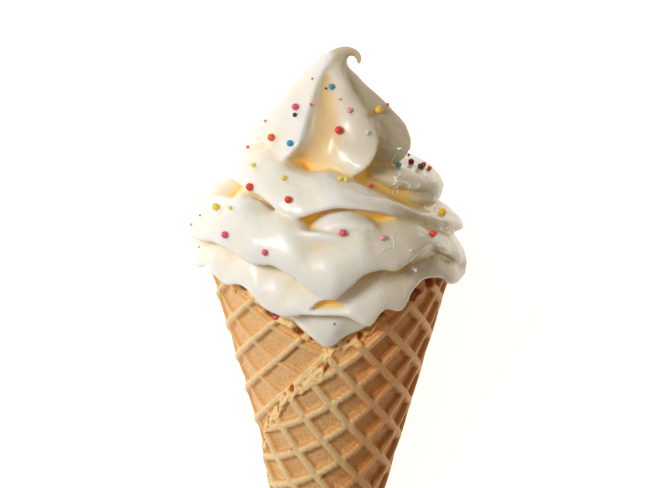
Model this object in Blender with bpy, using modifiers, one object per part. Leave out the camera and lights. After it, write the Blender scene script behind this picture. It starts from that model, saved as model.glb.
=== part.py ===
"""Soft serve ice cream in a rolled waffle cone, lying on its back with its face up.

The cone and the ice cream are modelled upright, in their own frame: the cone's axis is Z, the cone's
mouth is at Z = 0, and -Y faces the viewer. At the end both are laid down, so that the back of the swirl
and the tip of the cone rest on Z = 0 and the face looks up.
"""

import math

import bmesh
import bpy
import numpy as np
from mathutils import Matrix

MM = 0.001

# The rolled wafer. Heights along it are measured up from the cone's apex, which is below its blunt tip.
MOUTH_RADIUS = 33.7 * MM
MOUTH_HEIGHT = 125.0 * MM
RIM_HEIGHT = 127.5 * MM
NOTCH_DEPTH = 17.7 * MM
NOTCH_HALF = math.radians(50)
EDGE_TOP = 104.2 * MM
EDGE_FALL = 0.35 * MM
EDGE_BEND = 0.0022 * MM
EDGE_RISE = 5.6 * MM
EDGE_RISE_WIDTH = 5.0
WAFER_THICKNESS = 1.6 * MM
EDGE_STEP = 0.8 * MM
TIP_HEIGHT = 15.0 * MM
TIP_LENGTH = 4.0 * MM
LEAST_OVERLAP = 5.0 * MM
SEGMENTS = 72
TIP_ROWS = 4
LOWER_ROWS = 9
UPPER_ROWS = 5
INNER_ROWS = 5
INNER_TIP_HEIGHT = 24.0 * MM

# The ice cream.
FIT_GAP = 0.3 * MM
VOXEL = 0.8 * MM
SMOOTH_ROUNDS = 3
KEPT_FACES = 0.0476

# How it lies.
FLAT_DEPTH = 0.9 * MM
TABLE_SIZE = 0.6

# Each fold is a crest that winds round the axis, held as how far it hangs below its middle and its rows.
# One row is (azimuth, height, radius, droop, thickness). Azimuth is from the front, to the viewer's right.
# Droop is how far the lip points down, and thickness is how far the fold swells above its middle. Angles
# are in degrees and lengths in millimetres. A fold starts and ends inside the core.
FOLDS = {
    "upper_turn": (2.6, [
        (-230, 33, 14, 0, 6), (-180, 31, 21, 5, 6), (-130, 28, 25, 15, 6), (-86, 24.9, 26.8, 20, 6),
        (-59, 26, 27.5, 25, 5.2), (-46, 26.2, 28.5, 22, 4.8), (-35, 25.4, 29.8, 20, 4.8), (-24, 23.4, 31, 20, 5),
        (-15, 22.6, 31.5, 20, 5.4), (-6, 24.0, 31, 15, 5), (5, 25.4, 30.6, 10, 4), (24, 23.4, 31, 5, 4),
        (40, 20.6, 31, 0, 4), (56, 17.5, 29, 0, 4),
    ]),
    "ledge": (5.0, [
        (-40, 26, 15, -15, 3), (-22, 28.5, 21, -22, 2.6), (0, 29.2, 25.4, -28, 2.4), (15, 27.8, 28.2, -28, 2.4),
        (34, 24.6, 30.6, -22, 2.6), (46, 21.2, 31.6, -15, 3), (58, 17.4, 32.2, -5, 3.6), (74, 13.2, 34.4, 0, 4),
        (90, 9.6, 35.8, 5, 4), (105, 8, 34, 5, 4), (120, 8, 28, 5, 4),
    ]),
    "skirt": (2.6, [
        (58, 16, 24, 0, 4), (74, 12.6, 32, 0, 4.4), (90, 8.8, 36.4, 10, 4.6), (112, 7.5, 36.6, 15, 5),
        (145, 6, 36.8, 15, 5), (180, 4, 37, 15, 5), (225, 2.0, 37.6, 20, 4.5), (262, 1.4, 38, 30, 4),
        (276, 1.2, 38.2, 35, 4), (291, 2.4, 38, 40, 4), (299, 4.4, 37.4, 40, 4), (305, 3.4, 37.4, 45, 4),
        (312, 1.6, 37, 45, 4), (318, 2.6, 36.8, 45, 4), (325, 2.0, 37, 50, 4), (333, -1.8, 37, 50, 4),
        (342, -3.4, 36.8, 50, 4),
        (352, -2.6, 36.5, 45, 3), (367, -3, 36.3, 45, 3), (377, -6.2, 36.5, 55, 4), (384, -2.4, 36, 50, 4),
        (392, -3.2, 36.2, 50, 4), (398, 1.2, 36, 45, 4), (405, 3.3, 36, 40, 4), (415, 2, 36.4, 45, 4),
        (424, -1.6, 37, 45, 4), (436, -2.2, 37, 40, 4), (450, -2.4, 36.9, 35, 4), (470, -1, 35.5, 25, 4),
        (495, 0, 30, 15, 4),
    ]),
    "shoulder": (6.0, [
        (52, 22, 20, 0, 3), (66, 20.6, 27.4, 0, 3.4), (80, 19.6, 29.8, 0, 4), (95, 19, 30.6, 0, 4),
        (115, 18.4, 30.6, 0, 4), (140, 17.6, 30, 0, 4), (170, 17, 26, 0, 4),
    ]),
    "lower_turn": (2.6, [
        (40, 28, 18, 0, 5), (65, 24, 27, 5, 5), (85, 21, 30.6, 10, 5), (110, 19.5, 31.5, 10, 6),
        (145, 17.5, 33, 10, 6), (180, 15, 35, 10, 7), (225, 12, 37.5, 10, 7), (262, 9.2, 39.3, 15, 7),
        (273, 8.9, 39.4, 20, 7), (294, 11.6, 39.2, 20, 7), (308, 13.2, 38.9, 25, 7), (318, 12.6, 38.6, 30, 7),
        (328, 10.3, 38.4, 35, 7), (338, 10.6, 37.8, 35, 7), (346, 8, 38, 40, 7), (353, 4.6, 38.4, 40, 7.5),
        (361, 2.5, 38.7, 45, 8), (367, 5, 38.2, 40, 7.5), (374, 8.6, 37.6, 35, 7), (381, 9.6, 37.4, 30, 6),
        (389, 8.8, 38, 30, 6), (397, 11.4, 37.7, 25, 5), (407, 13, 37, 15, 4), (414, 10, 37.2, 20, 4),
        (431, 3.8, 37.3, 30, 5), (450, -2, 36.9, 35, 6), (480, -4, 36.4, 30, 7), (540, -6, 36, 25, 7),
        (600, -6, 35.5, 20, 6), (630, -4, 30, 10, 5),
    ]),
    "middle": (6.0, [
        (-75, 20, 26, 0, 3), (-50, 20.6, 31, -15, 2.6), (-34, 21, 33, -25, 2.2), (-12, 19.8, 34.3, -30, 2),
        (0, 19.2, 34.8, -30, 2), (21, 16.5, 35.5, -30, 2), (34, 14.2, 35.8, -25, 2.2), (47, 12.8, 36, -15, 2.6),
        (65, 10.6, 34.5, -5, 3), (85, 8, 29, 0, 3),
    ]),
    "tuck": (5.5, [
        (-14, 15, 26, 0, 3), (-6, 19.0, 31, -5, 3), (4, 20.8, 33, -5, 3.4), (17, 20.0, 33.4, -5, 3.4),
        (26, 18.0, 32, -5, 3), (36, 15, 26, 0, 3),
    ]),
    "filling": (3.0, [
        (-32, -4, 27, 60, 6), (-18, -6.7, 30, 65, 6), (-9, -11, 30, 70, 6), (0, -14.2, 29.8, 75, 6),
        (9, -11, 30, 70, 6), (20, -8, 30.6, 65, 6), (34, -4, 27, 60, 6),
    ]),
}
FOLD_REACH = 17.0 * MM
FOLD_SHARPNESS = 0.16
FOLD_STEP = 5.0
SECTION_POINTS = 20

# The core behind the folds: (height, radius) in millimetres.
CORE = [(33, 9), (28, 15), (24, 20), (17, 25), (9, 29), (2, 30.5), (-3, 30.5), (-7, 29)]
PLUG_HEIGHTS = np.linspace(26 * MM, 123 * MM, 9)

# The peak is fluted. One row is (height, sideways, radius) in millimetres, up to where it curls over.
PEAK = [
    (24, 0, 15), (28, 0.2, 18.4), (31.5, 0.6, 21.6), (34.5, 0.9, 22.0), (38, 0.7, 20.2), (42, 0.6, 17.2),
    (46, 0.4, 13.4), (50, 0.2, 9.4), (53.4, 0.6, 6.2), (56.0, 2.0, 3.8),
]
CURL = [(57.7, 3.9, 2.2), (58.2, 5.6, 1.5), (57.6, 7.1, 1.1), (56.0, 8.0, 0.8)]
CURL_SIDEWAYS = 4.0 * MM
STRAIGHT_TOP = 50.0 * MM
LEAN_HEIGHT = 8.0 * MM
PEAK_RINGS = 60
PEAK_POINTS = 72

# The crests between the flutes as (azimuth, depth of the flute after it, skew), and the peak's twist at its
# foot. A skew under 1 puts the deepest line nearer to the flute's first crest.
FLUTES = [
    (-84, 0.08, 1.0), (-25, 0.34, 0.6), (41, 0.26, 0.6), (88, 0.16, 1.0), (150, 0.18, 1.0), (222, 0.14, 1.0),
]
FLUTE_FULLNESS = 0.8
FLUTE_TWIST = 22.0
TWIST_TOP = 38.0 * MM
TWIST_HEIGHT = 9.0 * MM


def smooth_path(rows, count):
    """The rows joined by one smooth curve, as count rows that are evenly spaced in the row number."""
    rows = np.array(rows, float)
    padded = np.vstack([2 * rows[0] - rows[1], rows, 2 * rows[-1] - rows[-2]])
    at = np.linspace(0, len(rows) - 1, count)
    span = np.minimum(at.astype(int), len(rows) - 2)
    part = (at - span)[:, None]
    before, start, end, after = (padded[span + k] for k in range(4))
    slope_in, slope_out = (end - before) / 2, (after - start) / 2
    return (
        (2 * part**3 - 3 * part**2 + 1) * start
        + (part**3 - 2 * part**2 + part) * slope_in
        + (3 * part**2 - 2 * part**3) * end
        + (part**3 - part**2) * slope_out
    )


def loft(name, rings, collection):
    """A closed object through rings of points, each ring with the same number of points, ended by fans."""
    rings = np.array(rings, float)
    count, around, _ = rings.shape
    mesh = bmesh.new()
    rows = [[mesh.verts.new(point) for point in ring] for ring in rings]
    for low, high in zip(rows, rows[1:]):
        for k in range(around):
            after = (k + 1) % around
            mesh.faces.new((low[k], low[after], high[after], high[k]))
    for row, ring in ((rows[0], rings[0]), (rows[-1], rings[-1])):
        pole = mesh.verts.new(ring.mean(axis=0))
        for k in range(around):
            mesh.faces.new((row[k], row[(k + 1) % around], pole))
    bmesh.ops.recalc_face_normals(mesh, faces=mesh.faces)
    data = bpy.data.meshes.new(name)
    mesh.to_mesh(data)
    mesh.free()
    if sum(p.center.dot(p.normal) * p.area for p in data.polygons) < 0:
        data.flip_normals()
    made = bpy.data.objects.new(name, data)
    collection.objects.link(made)
    return made


def wafer_rings(grow=0.0):
    """Rings of the rolled wafer: outside from the tip up, over the rim, then down the inside.

    The roll runs to the viewer's left from the notch at the front. Its loose edge comes down across the
    front and round the back to the tip, and only the rows of points rise again from there to the notch.
    Below that edge the wafer is one thickness further out.
    With grow, every face is moved out by that much.
    """
    roll = np.linspace(0, 2 * math.pi, SEGMENTS, endpoint=False)
    from_front = np.minimum(roll, 2 * math.pi - roll)
    rim = RIM_HEIGHT - NOTCH_DEPTH * np.clip(1 - from_front / NOTCH_HALF, 0, 1) + grow
    turned = np.degrees(roll)
    edge = EDGE_TOP - (EDGE_FALL + EDGE_BEND * turned) * turned
    edge = edge + EDGE_RISE * np.exp(-turned / EDGE_RISE_WIDTH)
    edge = np.minimum(edge, rim - 2 * EDGE_STEP)
    ending = np.clip((edge - TIP_HEIGHT - LEAST_OVERLAP) / LEAST_OVERLAP, 0, 1)
    edge = np.maximum(edge, TIP_HEIGHT + LEAST_OVERLAP)
    ended = turned[np.argmax(ending == 0)]
    past = np.clip((turned - ended) / (360 - ended), 0, 1)
    edge = edge + (edge[0] - edge) * past * past * (3 - 2 * past)
    single = WAFER_THICKNESS * (roll / (2 * math.pi) - 1) + grow
    double = single + WAFER_THICKNESS * ending
    inside = -2 * WAFER_THICKNESS - grow

    def ring(height, offset):
        height = np.broadcast_to(height, roll.shape)
        radius = height * (MOUTH_RADIUS / MOUTH_HEIGHT) + offset
        return np.stack([-radius * np.sin(roll), -radius * np.cos(roll), height - MOUTH_HEIGHT], axis=1)

    rows = []
    for share in np.linspace(0, 1, TIP_ROWS, endpoint=False):
        rounded = math.sqrt(1 - (1 - share) ** 2 * 0.9)
        height = TIP_HEIGHT - TIP_LENGTH * (1 - share)
        tip_radius = (TIP_HEIGHT * (MOUTH_RADIUS / MOUTH_HEIGHT) + double) * rounded
        rows.append(ring(height, tip_radius - height * (MOUTH_RADIUS / MOUTH_HEIGHT)))
    for share in np.linspace(0, 1, LOWER_ROWS):
        rows.append(ring(TIP_HEIGHT + (edge - TIP_HEIGHT) * share, double))
    for share in np.linspace(0, 1, UPPER_ROWS):
        rows.append(ring(edge + EDGE_STEP + (rim - edge - EDGE_STEP) * share, single))
    for share in np.linspace(0, 1, INNER_ROWS):
        rows.append(ring(rim + (INNER_TIP_HEIGHT - rim) * share, inside))
    return rows


def make_wafer(collection, name="waffle_cone", grow=0.0):
    """The rolled wafer cone, or with grow a cutter that leaves that gap round it."""
    made = loft(name, wafer_rings(grow), collection)
    made.data.shade_smooth()
    made.data.set_sharp_from_angle(angle=math.radians(40))
    return made


def fold_rings(under, rows):
    """Teardrop sections along one fold, with the point of the teardrop on the crest."""
    count = int((rows[-1][0] - rows[0][0]) / FOLD_STEP) + 2
    around = np.linspace(0, 2 * math.pi, SECTION_POINTS, endpoint=False)
    inward = (1 - np.cos(around)) / 2
    shape = np.sin(around) * inward**FOLD_SHARPNESS
    back = inward * FOLD_REACH
    rings = []
    for azimuth, height, radius, droop, thickness in smooth_path(rows, count):
        turn, lean = math.radians(azimuth), math.radians(droop)
        half = np.where(shape > 0, shape * thickness, shape * under) * MM
        out = radius * MM - back * math.cos(lean) + half * math.sin(lean)
        up = height * MM + back * math.sin(lean) + half * math.cos(lean)
        rings.append(np.stack([out * math.sin(turn), -out * math.cos(turn), up], axis=1))
    return rings


def flute(azimuth):
    """The share of the peak's radius at each azimuth: 1 on a crest and less between two crests."""
    share = np.ones_like(azimuth)
    for k, (crest, depth, skew) in enumerate(FLUTES):
        following = FLUTES[(k + 1) % len(FLUTES)][0]
        width = (following - crest) % 360
        across = ((np.degrees(azimuth) - crest) % 360) / width
        inside = across < 1
        share[inside] = 1 - depth * np.sin(math.pi * across[inside] ** skew) ** FLUTE_FULLNESS
    return share


def peak_rings():
    """Rings of the fluted peak and of the curl at its top, each square to the line through their middles."""
    rows = smooth_path(PEAK + CURL, PEAK_RINGS) * MM
    around = np.linspace(0, 2 * math.pi, PEAK_POINTS, endpoint=False)
    rings = []
    for k, (height, sideways, radius) in enumerate(rows):
        ahead, behind = rows[min(k + 1, len(rows) - 1)], rows[max(k - 1, 0)]
        lean = math.atan2(ahead[1] - behind[1], ahead[0] - behind[0])
        if sideways < CURL_SIDEWAYS:
            lean *= min(1.0, max(0.0, (height - STRAIGHT_TOP) / LEAN_HEIGHT))
        low = min(1.0, max(0.0, (TWIST_TOP - height) / TWIST_HEIGHT))
        size = radius * flute(around + math.radians(FLUTE_TWIST) * low)
        across, depth = size * np.sin(around), -size * np.cos(around)
        ring = [sideways + across * math.cos(lean), depth, height - across * math.sin(lean)]
        rings.append(np.stack(ring, axis=1))
    return rings


def turned_rings(rows, around=48):
    """Rings of a turned shape from rows of height and radius in metres."""
    angle = np.linspace(0, 2 * math.pi, around, endpoint=False)
    return [np.stack([r * np.sin(angle), -r * np.cos(angle), np.full(around, z)], axis=1) for z, r in rows]


def make_soft_serve(collection, helpers):
    """The ice cream: core, folds, peak and the part down in the cone, run together into one body."""
    slope = MOUTH_RADIUS / MOUTH_HEIGHT
    slack = 2 * WAFER_THICKNESS + FIT_GAP
    plug = [(s - MOUTH_HEIGHT, s * slope - slack) for s in PLUG_HEIGHTS]
    shapes = [
        loft("core", turned_rings([(z * MM, r * MM) for z, r in CORE]), helpers),
        loft("plug", turned_rings(plug), helpers),
        loft("peak", peak_rings(), helpers),
    ]
    shapes += [loft("fold_" + name, fold_rings(*fold), helpers) for name, fold in FOLDS.items()]
    body = bmesh.new()
    for shape in shapes:
        body.from_mesh(shape.data)
    data = bpy.data.meshes.new("soft_serve")
    body.to_mesh(data)
    body.free()
    for shape in shapes:
        bpy.data.objects.remove(shape)
    made = bpy.data.objects.new("soft_serve", data)
    collection.objects.link(made)
    remesh = made.modifiers.new("run_together", "REMESH")
    remesh.mode = "VOXEL"
    remesh.voxel_size = VOXEL
    smooth = made.modifiers.new("soften", "SMOOTH")
    smooth.factor = 0.5
    smooth.iterations = SMOOTH_ROUNDS
    fewer = made.modifiers.new("fewer_faces", "DECIMATE")
    fewer.ratio = KEPT_FACES
    return made


def bake(made):
    """Turns the object's modifiers into plain mesh and keeps only its largest piece."""
    bpy.context.view_layer.update()
    data = bpy.data.meshes.new_from_object(made.evaluated_get(bpy.context.evaluated_depsgraph_get()))
    made.modifiers.clear()
    made.data = data
    mesh = bmesh.new()
    mesh.from_mesh(data)
    unseen, pieces = set(mesh.verts), []
    while unseen:
        piece, front = set(), [unseen.pop()]
        while front:
            vertex = front.pop()
            piece.add(vertex)
            for edge in vertex.link_edges:
                other = edge.other_vert(vertex)
                if other in unseen:
                    unseen.remove(other)
                    front.append(other)
        pieces.append(piece)
    largest = max(pieces, key=len)
    bmesh.ops.delete(mesh, geom=[v for piece in pieces if piece is not largest for v in piece], context="VERTS")
    bmesh.ops.triangulate(mesh, faces=mesh.faces)
    mesh.to_mesh(data)
    mesh.free()


def cut(made, cutter, name):
    """Takes the cutter's space out of made."""
    boolean = made.modifiers.new(name, "BOOLEAN")
    boolean.object = cutter
    boolean.operation = "DIFFERENCE"
    boolean.solver = "EXACT"
    cutter.hide_render = True
    cutter.display_type = "WIRE"


def points_of(made):
    """The object's mesh points as an array."""
    return np.array([vertex.co[:] for vertex in made.data.vertices])


def lay_down(swirl, wafer):
    """Lays both on their back, with the swirl's back and the cone's tip at one height, centred on the origin.

    Both are sunk below Z = 0 by the depth of the flats that are cut there afterwards.
    """
    on_back = Matrix.Rotation(math.radians(-90), 4, "X")

    def lowest(made, lean):
        turn = np.array((Matrix.Rotation(lean, 4, "X") @ on_back).to_3x3())
        return (points_of(made) @ turn.T)[:, 2].min()

    low, high = 0.0, math.radians(40)
    for _ in range(40):
        lean = (low + high) / 2
        if lowest(wafer, lean) > lowest(swirl, lean):
            low = lean
        else:
            high = lean
    turn = Matrix.Rotation(lean, 4, "X") @ on_back
    for made in (swirl, wafer):
        made.data.transform(turn)
    points = np.vstack([points_of(swirl), points_of(wafer)])
    middle = (points.min(axis=0) + points.max(axis=0)) / 2
    shift = Matrix.Translation((-middle[0], -middle[1], -points[:, 2].min() - FLAT_DEPTH))
    for made in (swirl, wafer):
        made.data.transform(shift)


def material(name, colour, roughness):
    """A plain finish."""
    made = bpy.data.materials.new(name)
    made.use_nodes = True
    shader = made.node_tree.nodes["Principled BSDF"]
    shader.inputs["Base Color"].default_value = (*colour, 1)
    shader.inputs["Roughness"].default_value = roughness
    shader.inputs["Metallic"].default_value = 0
    return made


def main():
    """Builds the cone and the ice cream, and lays them down."""
    for old in list(bpy.data.objects):
        bpy.data.objects.remove(old)
    parts = bpy.data.collections.new("soft_serve_cone")
    helpers = bpy.data.collections.new("cutters")
    for collection in (parts, helpers):
        bpy.context.scene.collection.children.link(collection)
    wafer = make_wafer(parts)
    swirl = make_soft_serve(parts, helpers)
    bake(swirl)
    room = make_wafer(helpers, "room_for_wafer", FIT_GAP)
    cut(swirl, room, "room_for_wafer")
    bake(swirl)
    bpy.data.objects.remove(room)
    lay_down(swirl, wafer)
    bpy.ops.mesh.primitive_cube_add(size=1, location=(0, 0, -0.5 * TABLE_SIZE), scale=(TABLE_SIZE,) * 3)
    table = bpy.context.object
    table.name = "table_cut"
    for collection in list(table.users_collection):
        collection.objects.unlink(table)
    helpers.objects.link(table)
    for made in (swirl, wafer):
        cut(made, table, "lying_flat")
    swirl.data.shade_smooth()
    swirl.data.materials.clear()
    swirl.data.materials.append(material("soft_serve", (0.90, 0.85, 0.70), 0.35))
    wafer.data.materials.append(material("waffle", (0.72, 0.42, 0.17), 0.65))


main()
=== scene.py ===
"""Soft serve ice cream in a rolled waffle cone, with sugar balls, lying on its back with its face up.

The cone and the ice cream are shaped upright, in their own frame, and then laid down into the frame of the
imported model. In the upright frame the cone's axis is Z, its mouth is at Z = 0, and -Y faces the viewer.
Shapes are given in millimetres and degrees, and every mesh is in metres.
"""

from __future__ import annotations

import logging
import math
from dataclasses import astuple, dataclass
from enum import Enum
from typing import ClassVar

import bmesh
import bpy
import numpy as np
from mathutils import Matrix, Vector
from mathutils.bvhtree import BVHTree

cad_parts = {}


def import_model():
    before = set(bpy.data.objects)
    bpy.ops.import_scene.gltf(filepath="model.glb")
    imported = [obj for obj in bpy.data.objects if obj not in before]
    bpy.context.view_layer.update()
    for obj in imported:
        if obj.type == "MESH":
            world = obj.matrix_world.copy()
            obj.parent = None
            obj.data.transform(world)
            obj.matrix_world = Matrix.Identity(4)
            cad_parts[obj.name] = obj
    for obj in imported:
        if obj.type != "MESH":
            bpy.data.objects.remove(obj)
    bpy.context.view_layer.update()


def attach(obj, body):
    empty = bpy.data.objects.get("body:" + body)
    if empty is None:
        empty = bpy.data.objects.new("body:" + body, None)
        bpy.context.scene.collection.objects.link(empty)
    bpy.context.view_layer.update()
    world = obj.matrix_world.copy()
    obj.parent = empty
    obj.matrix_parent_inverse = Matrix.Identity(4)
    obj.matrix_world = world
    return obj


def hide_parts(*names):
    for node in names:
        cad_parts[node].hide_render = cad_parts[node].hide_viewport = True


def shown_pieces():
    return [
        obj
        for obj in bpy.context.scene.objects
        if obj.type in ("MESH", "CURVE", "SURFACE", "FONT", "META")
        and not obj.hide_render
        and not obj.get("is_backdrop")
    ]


LOG = logging.getLogger("soft_serve_cone")

MM = 0.001
FULL_TURN = 2.0 * math.pi

# How far above level the viewer looks from, in degrees.
VIEW_ELEVATION = 20.0

Rows = tuple[tuple[float, ...], ...]
Colour = tuple[float, float, float]
Span = tuple[float, float]
Rise = tuple[float, float, float, float]


# --------------------------------------------------------------------------------------------------------
# Small tools for curves and meshes
# --------------------------------------------------------------------------------------------------------


def smooth_rows(rows: Rows, count: int) -> np.ndarray:
    """Joins rows of numbers by one smooth curve.

    Args:
        rows: The rows that the curve passes through, two or more.
        count: How many rows come back, evenly spaced in the row number.

    Returns:
        An array of count rows.
    """
    given = np.array(rows, float)
    padded = np.vstack([2 * given[0] - given[1], given, 2 * given[-1] - given[-2]])
    at = np.linspace(0, len(given) - 1, count)
    span = np.minimum(at.astype(int), len(given) - 2)
    part = (at - span)[:, None]
    before, start, end, after = (padded[span + k] for k in range(4))
    slope_in, slope_out = (end - before) / 2, (after - start) / 2
    return (
        (2 * part**3 - 3 * part**2 + 1) * start
        + (part**3 - 2 * part**2 + part) * slope_in
        + (3 * part**2 - 2 * part**3) * end
        + (part**3 - part**2) * slope_out
    )


def ramp(value: np.ndarray, low: float, high: float) -> np.ndarray:
    """Rises smoothly from 0 at low to 1 at high.

    Args:
        value: Where to read the ramp.
        low: The value at which it leaves 0. It may be above high, which turns the ramp round.
        high: The value at which it reaches 1.

    Returns:
        The ramp's height at each value.
    """
    part = np.clip((value - low) / (high - low), 0.0, 1.0)
    return part * part * (3.0 - 2.0 * part)


def plateau(value: np.ndarray, rise: Rise) -> np.ndarray:
    """Rises smoothly from 0 to 1, stays there and falls back to 0.

    Args:
        value: Where to read it.
        rise: The values at which it leaves 0, reaches 1, leaves 1 and is 0 again.

    Returns:
        Its height at each value.
    """
    start, full, fading, end = rise
    return ramp(value, start, full) * ramp(value, end, fading)


class Ripple:
    """A smooth random field made of sine waves, the same on each run."""

    def __init__(self, seed: int, wavelength: float, waves: int = 24, dimensions: int = 3) -> None:
        """Draws the waves.

        Args:
            seed: Which field this is.
            wavelength: The usual distance from one crest to the next.
            waves: How many waves are added up.
            dimensions: How many coordinates a point has.
        """
        draw = np.random.default_rng(seed)
        heading = draw.normal(size=(waves, dimensions))
        heading /= np.linalg.norm(heading, axis=1, keepdims=True)
        self.waves = heading * (FULL_TURN / wavelength) * draw.uniform(0.6, 1.6, size=(waves, 1))
        self.phases = draw.uniform(0, FULL_TURN, size=waves)
        self.scale = math.sqrt(2.0 / waves)

    def __call__(self, points: np.ndarray) -> np.ndarray:
        """Reads the field.

        Args:
            points: One row of coordinates for each point.

        Returns:
            A value for each point, usually between -2 and 2.
        """
        total = np.zeros(len(points))
        for wave, phase in zip(self.waves, self.phases):
            total += np.sin(points @ wave + phase)
        return total * self.scale


@dataclass(frozen=True)
class Waves:
    """Random waves that make an edge or a surface uneven."""

    seed: int
    length: float
    height: float

    def read(self, points: np.ndarray) -> np.ndarray:
        """Reads the waves.

        Args:
            points: One row of coordinates for each point.

        Returns:
            How far the waves move each point.
        """
        return self.height * Ripple(self.seed, self.length, dimensions=points.shape[1])(points)


class MeshMaker:
    """Turns arrays of points and faces into Blender objects."""

    @staticmethod
    def loft(name: str, rings: np.ndarray) -> bpy.types.Object:
        """Makes a closed object through rings of points.

        Args:
            name: The object's name.
            rings: Points by ring, place in the ring and coordinate. Both end rings are closed by a fan.

        Returns:
            The object, linked to the scene.
        """
        rings = np.asarray(rings, float)
        count, around, _ = rings.shape
        points = np.vstack([rings.reshape(-1, 3), rings[0].mean(axis=0), rings[-1].mean(axis=0)])
        first, last = count * around, count * around + 1
        here = np.arange(around)
        after = (here + 1) % around
        faces: list[tuple[int, ...]] = []
        for row in range(count - 1):
            low, high = row * around, (row + 1) * around
            faces += list(zip(low + here, low + after, high + after, high + here))
        faces += [(first, int(b), int(a)) for a, b in zip(here, after)]
        top = (count - 1) * around
        faces += [(last, int(top + a), int(top + b)) for a, b in zip(here, after)]
        made = MeshMaker.from_arrays(name, points, faces)
        if MeshMaker.volume(made.data) < 0:
            made.data.flip_normals()
        return made

    @staticmethod
    def from_arrays(name: str, points: np.ndarray, faces: list[tuple[int, ...]]) -> bpy.types.Object:
        """Makes an object of these points and faces.

        Args:
            name: The object's name.
            points: One row of three coordinates for each point, in metres.
            faces: The numbers of each face's points.

        Returns:
            The object, linked to the scene and shaded smooth.
        """
        mesh = bpy.data.meshes.new(name)
        mesh.from_pydata(points.tolist(), [], [tuple(int(k) for k in face) for face in faces])
        mesh.shade_smooth()
        made = bpy.data.objects.new(name, mesh)
        bpy.context.scene.collection.objects.link(made)
        return made

    @staticmethod
    def volume(mesh: bpy.types.Mesh) -> float:
        """Measures a closed mesh.

        Args:
            mesh: The mesh.

        Returns:
            Three times its volume, below 0 if it is inside out.
        """
        return sum(face.center.dot(face.normal) * face.area for face in mesh.polygons)

    @staticmethod
    def points(mesh: bpy.types.Mesh) -> np.ndarray:
        """Reads a mesh's points.

        Args:
            mesh: The mesh.

        Returns:
            One row of coordinates for each point.
        """
        flat = np.empty(len(mesh.vertices) * 3)
        mesh.vertices.foreach_get("co", flat)
        return flat.reshape(-1, 3)

    @staticmethod
    def move_points(mesh: bpy.types.Mesh, points: np.ndarray) -> None:
        """Writes a mesh's points.

        Args:
            mesh: The mesh.
            points: One row of coordinates for each point.
        """
        mesh.vertices.foreach_set("co", points.ravel())
        mesh.update()

    @staticmethod
    def normals(mesh: bpy.types.Mesh) -> np.ndarray:
        """Reads the normal at each of a mesh's points.

        Args:
            mesh: The mesh.

        Returns:
            One unit vector for each point.
        """
        flat = np.empty(len(mesh.vertices) * 3)
        mesh.vertex_normals.foreach_get("vector", flat)
        return flat.reshape(-1, 3)

    @staticmethod
    def soften(mesh: bpy.types.Mesh, points: np.ndarray, rounds: int, share: float = 0.5) -> np.ndarray:
        """Moves each point towards its neighbours' middle, again and again.

        Args:
            mesh: The mesh whose edges say which points are neighbours.
            points: Where the points start.
            rounds: How many times they move.
            share: How much of the way they move each time.

        Returns:
            The moved points.
        """
        flat = np.empty(len(mesh.edges) * 2, dtype=np.int64)
        mesh.edges.foreach_get("vertices", flat)
        one, other = flat.reshape(-1, 2).T
        ends, starts = np.concatenate([one, other]), np.concatenate([other, one])
        degree = np.maximum(np.bincount(ends, minlength=len(points)), 1)
        moved = points.copy()
        for _ in range(rounds):
            for axis in range(3):
                total = np.bincount(ends, weights=moved[starts, axis], minlength=len(points))
                moved[:, axis] += share * (total / degree - moved[:, axis])
        return moved

    @staticmethod
    def write_mask(mesh: bpy.types.Mesh, name: str, values: np.ndarray) -> None:
        """Stores one number for each point, for the material to read.

        Args:
            mesh: The mesh.
            name: What the material calls the numbers.
            values: One number for each point.
        """
        layer = mesh.attributes.new(name, "FLOAT", "POINT")
        layer.data.foreach_set("value", np.asarray(values, dtype=np.float32))

    @staticmethod
    def apply_modifiers(made: bpy.types.Object) -> None:
        """Turns an object's modifiers into plain mesh.

        Args:
            made: The object.
        """
        bpy.context.view_layer.update()
        seen = made.evaluated_get(bpy.context.evaluated_depsgraph_get())
        made.data = bpy.data.meshes.new_from_object(seen)
        made.modifiers.clear()
        made.data.shade_smooth()


# --------------------------------------------------------------------------------------------------------
# How it lies
# --------------------------------------------------------------------------------------------------------


@dataclass(frozen=True)
class Pose:
    """How the upright cone is laid down on its back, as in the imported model."""

    lean: float = 17.19
    shift: tuple[float, float, float] = (1.22, 26.19, 34.94)

    def matrix(self) -> Matrix:
        """Returns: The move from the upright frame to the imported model's frame, in metres."""
        on_back = Matrix.Rotation(math.radians(self.lean - 90), 4, "X")
        return Matrix.Translation(Vector(self.shift) * MM) @ on_back

    def lay(self, mesh: bpy.types.Mesh) -> None:
        """Lays a mesh down and flattens what would be under the table.

        Args:
            mesh: The mesh, in the upright frame.
        """
        mesh.transform(self.matrix())
        points = MeshMaker.points(mesh)
        points[:, 2] = np.maximum(points[:, 2], 0.0)
        MeshMaker.move_points(mesh, points)


# --------------------------------------------------------------------------------------------------------
# Waffle cone
# --------------------------------------------------------------------------------------------------------


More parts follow.
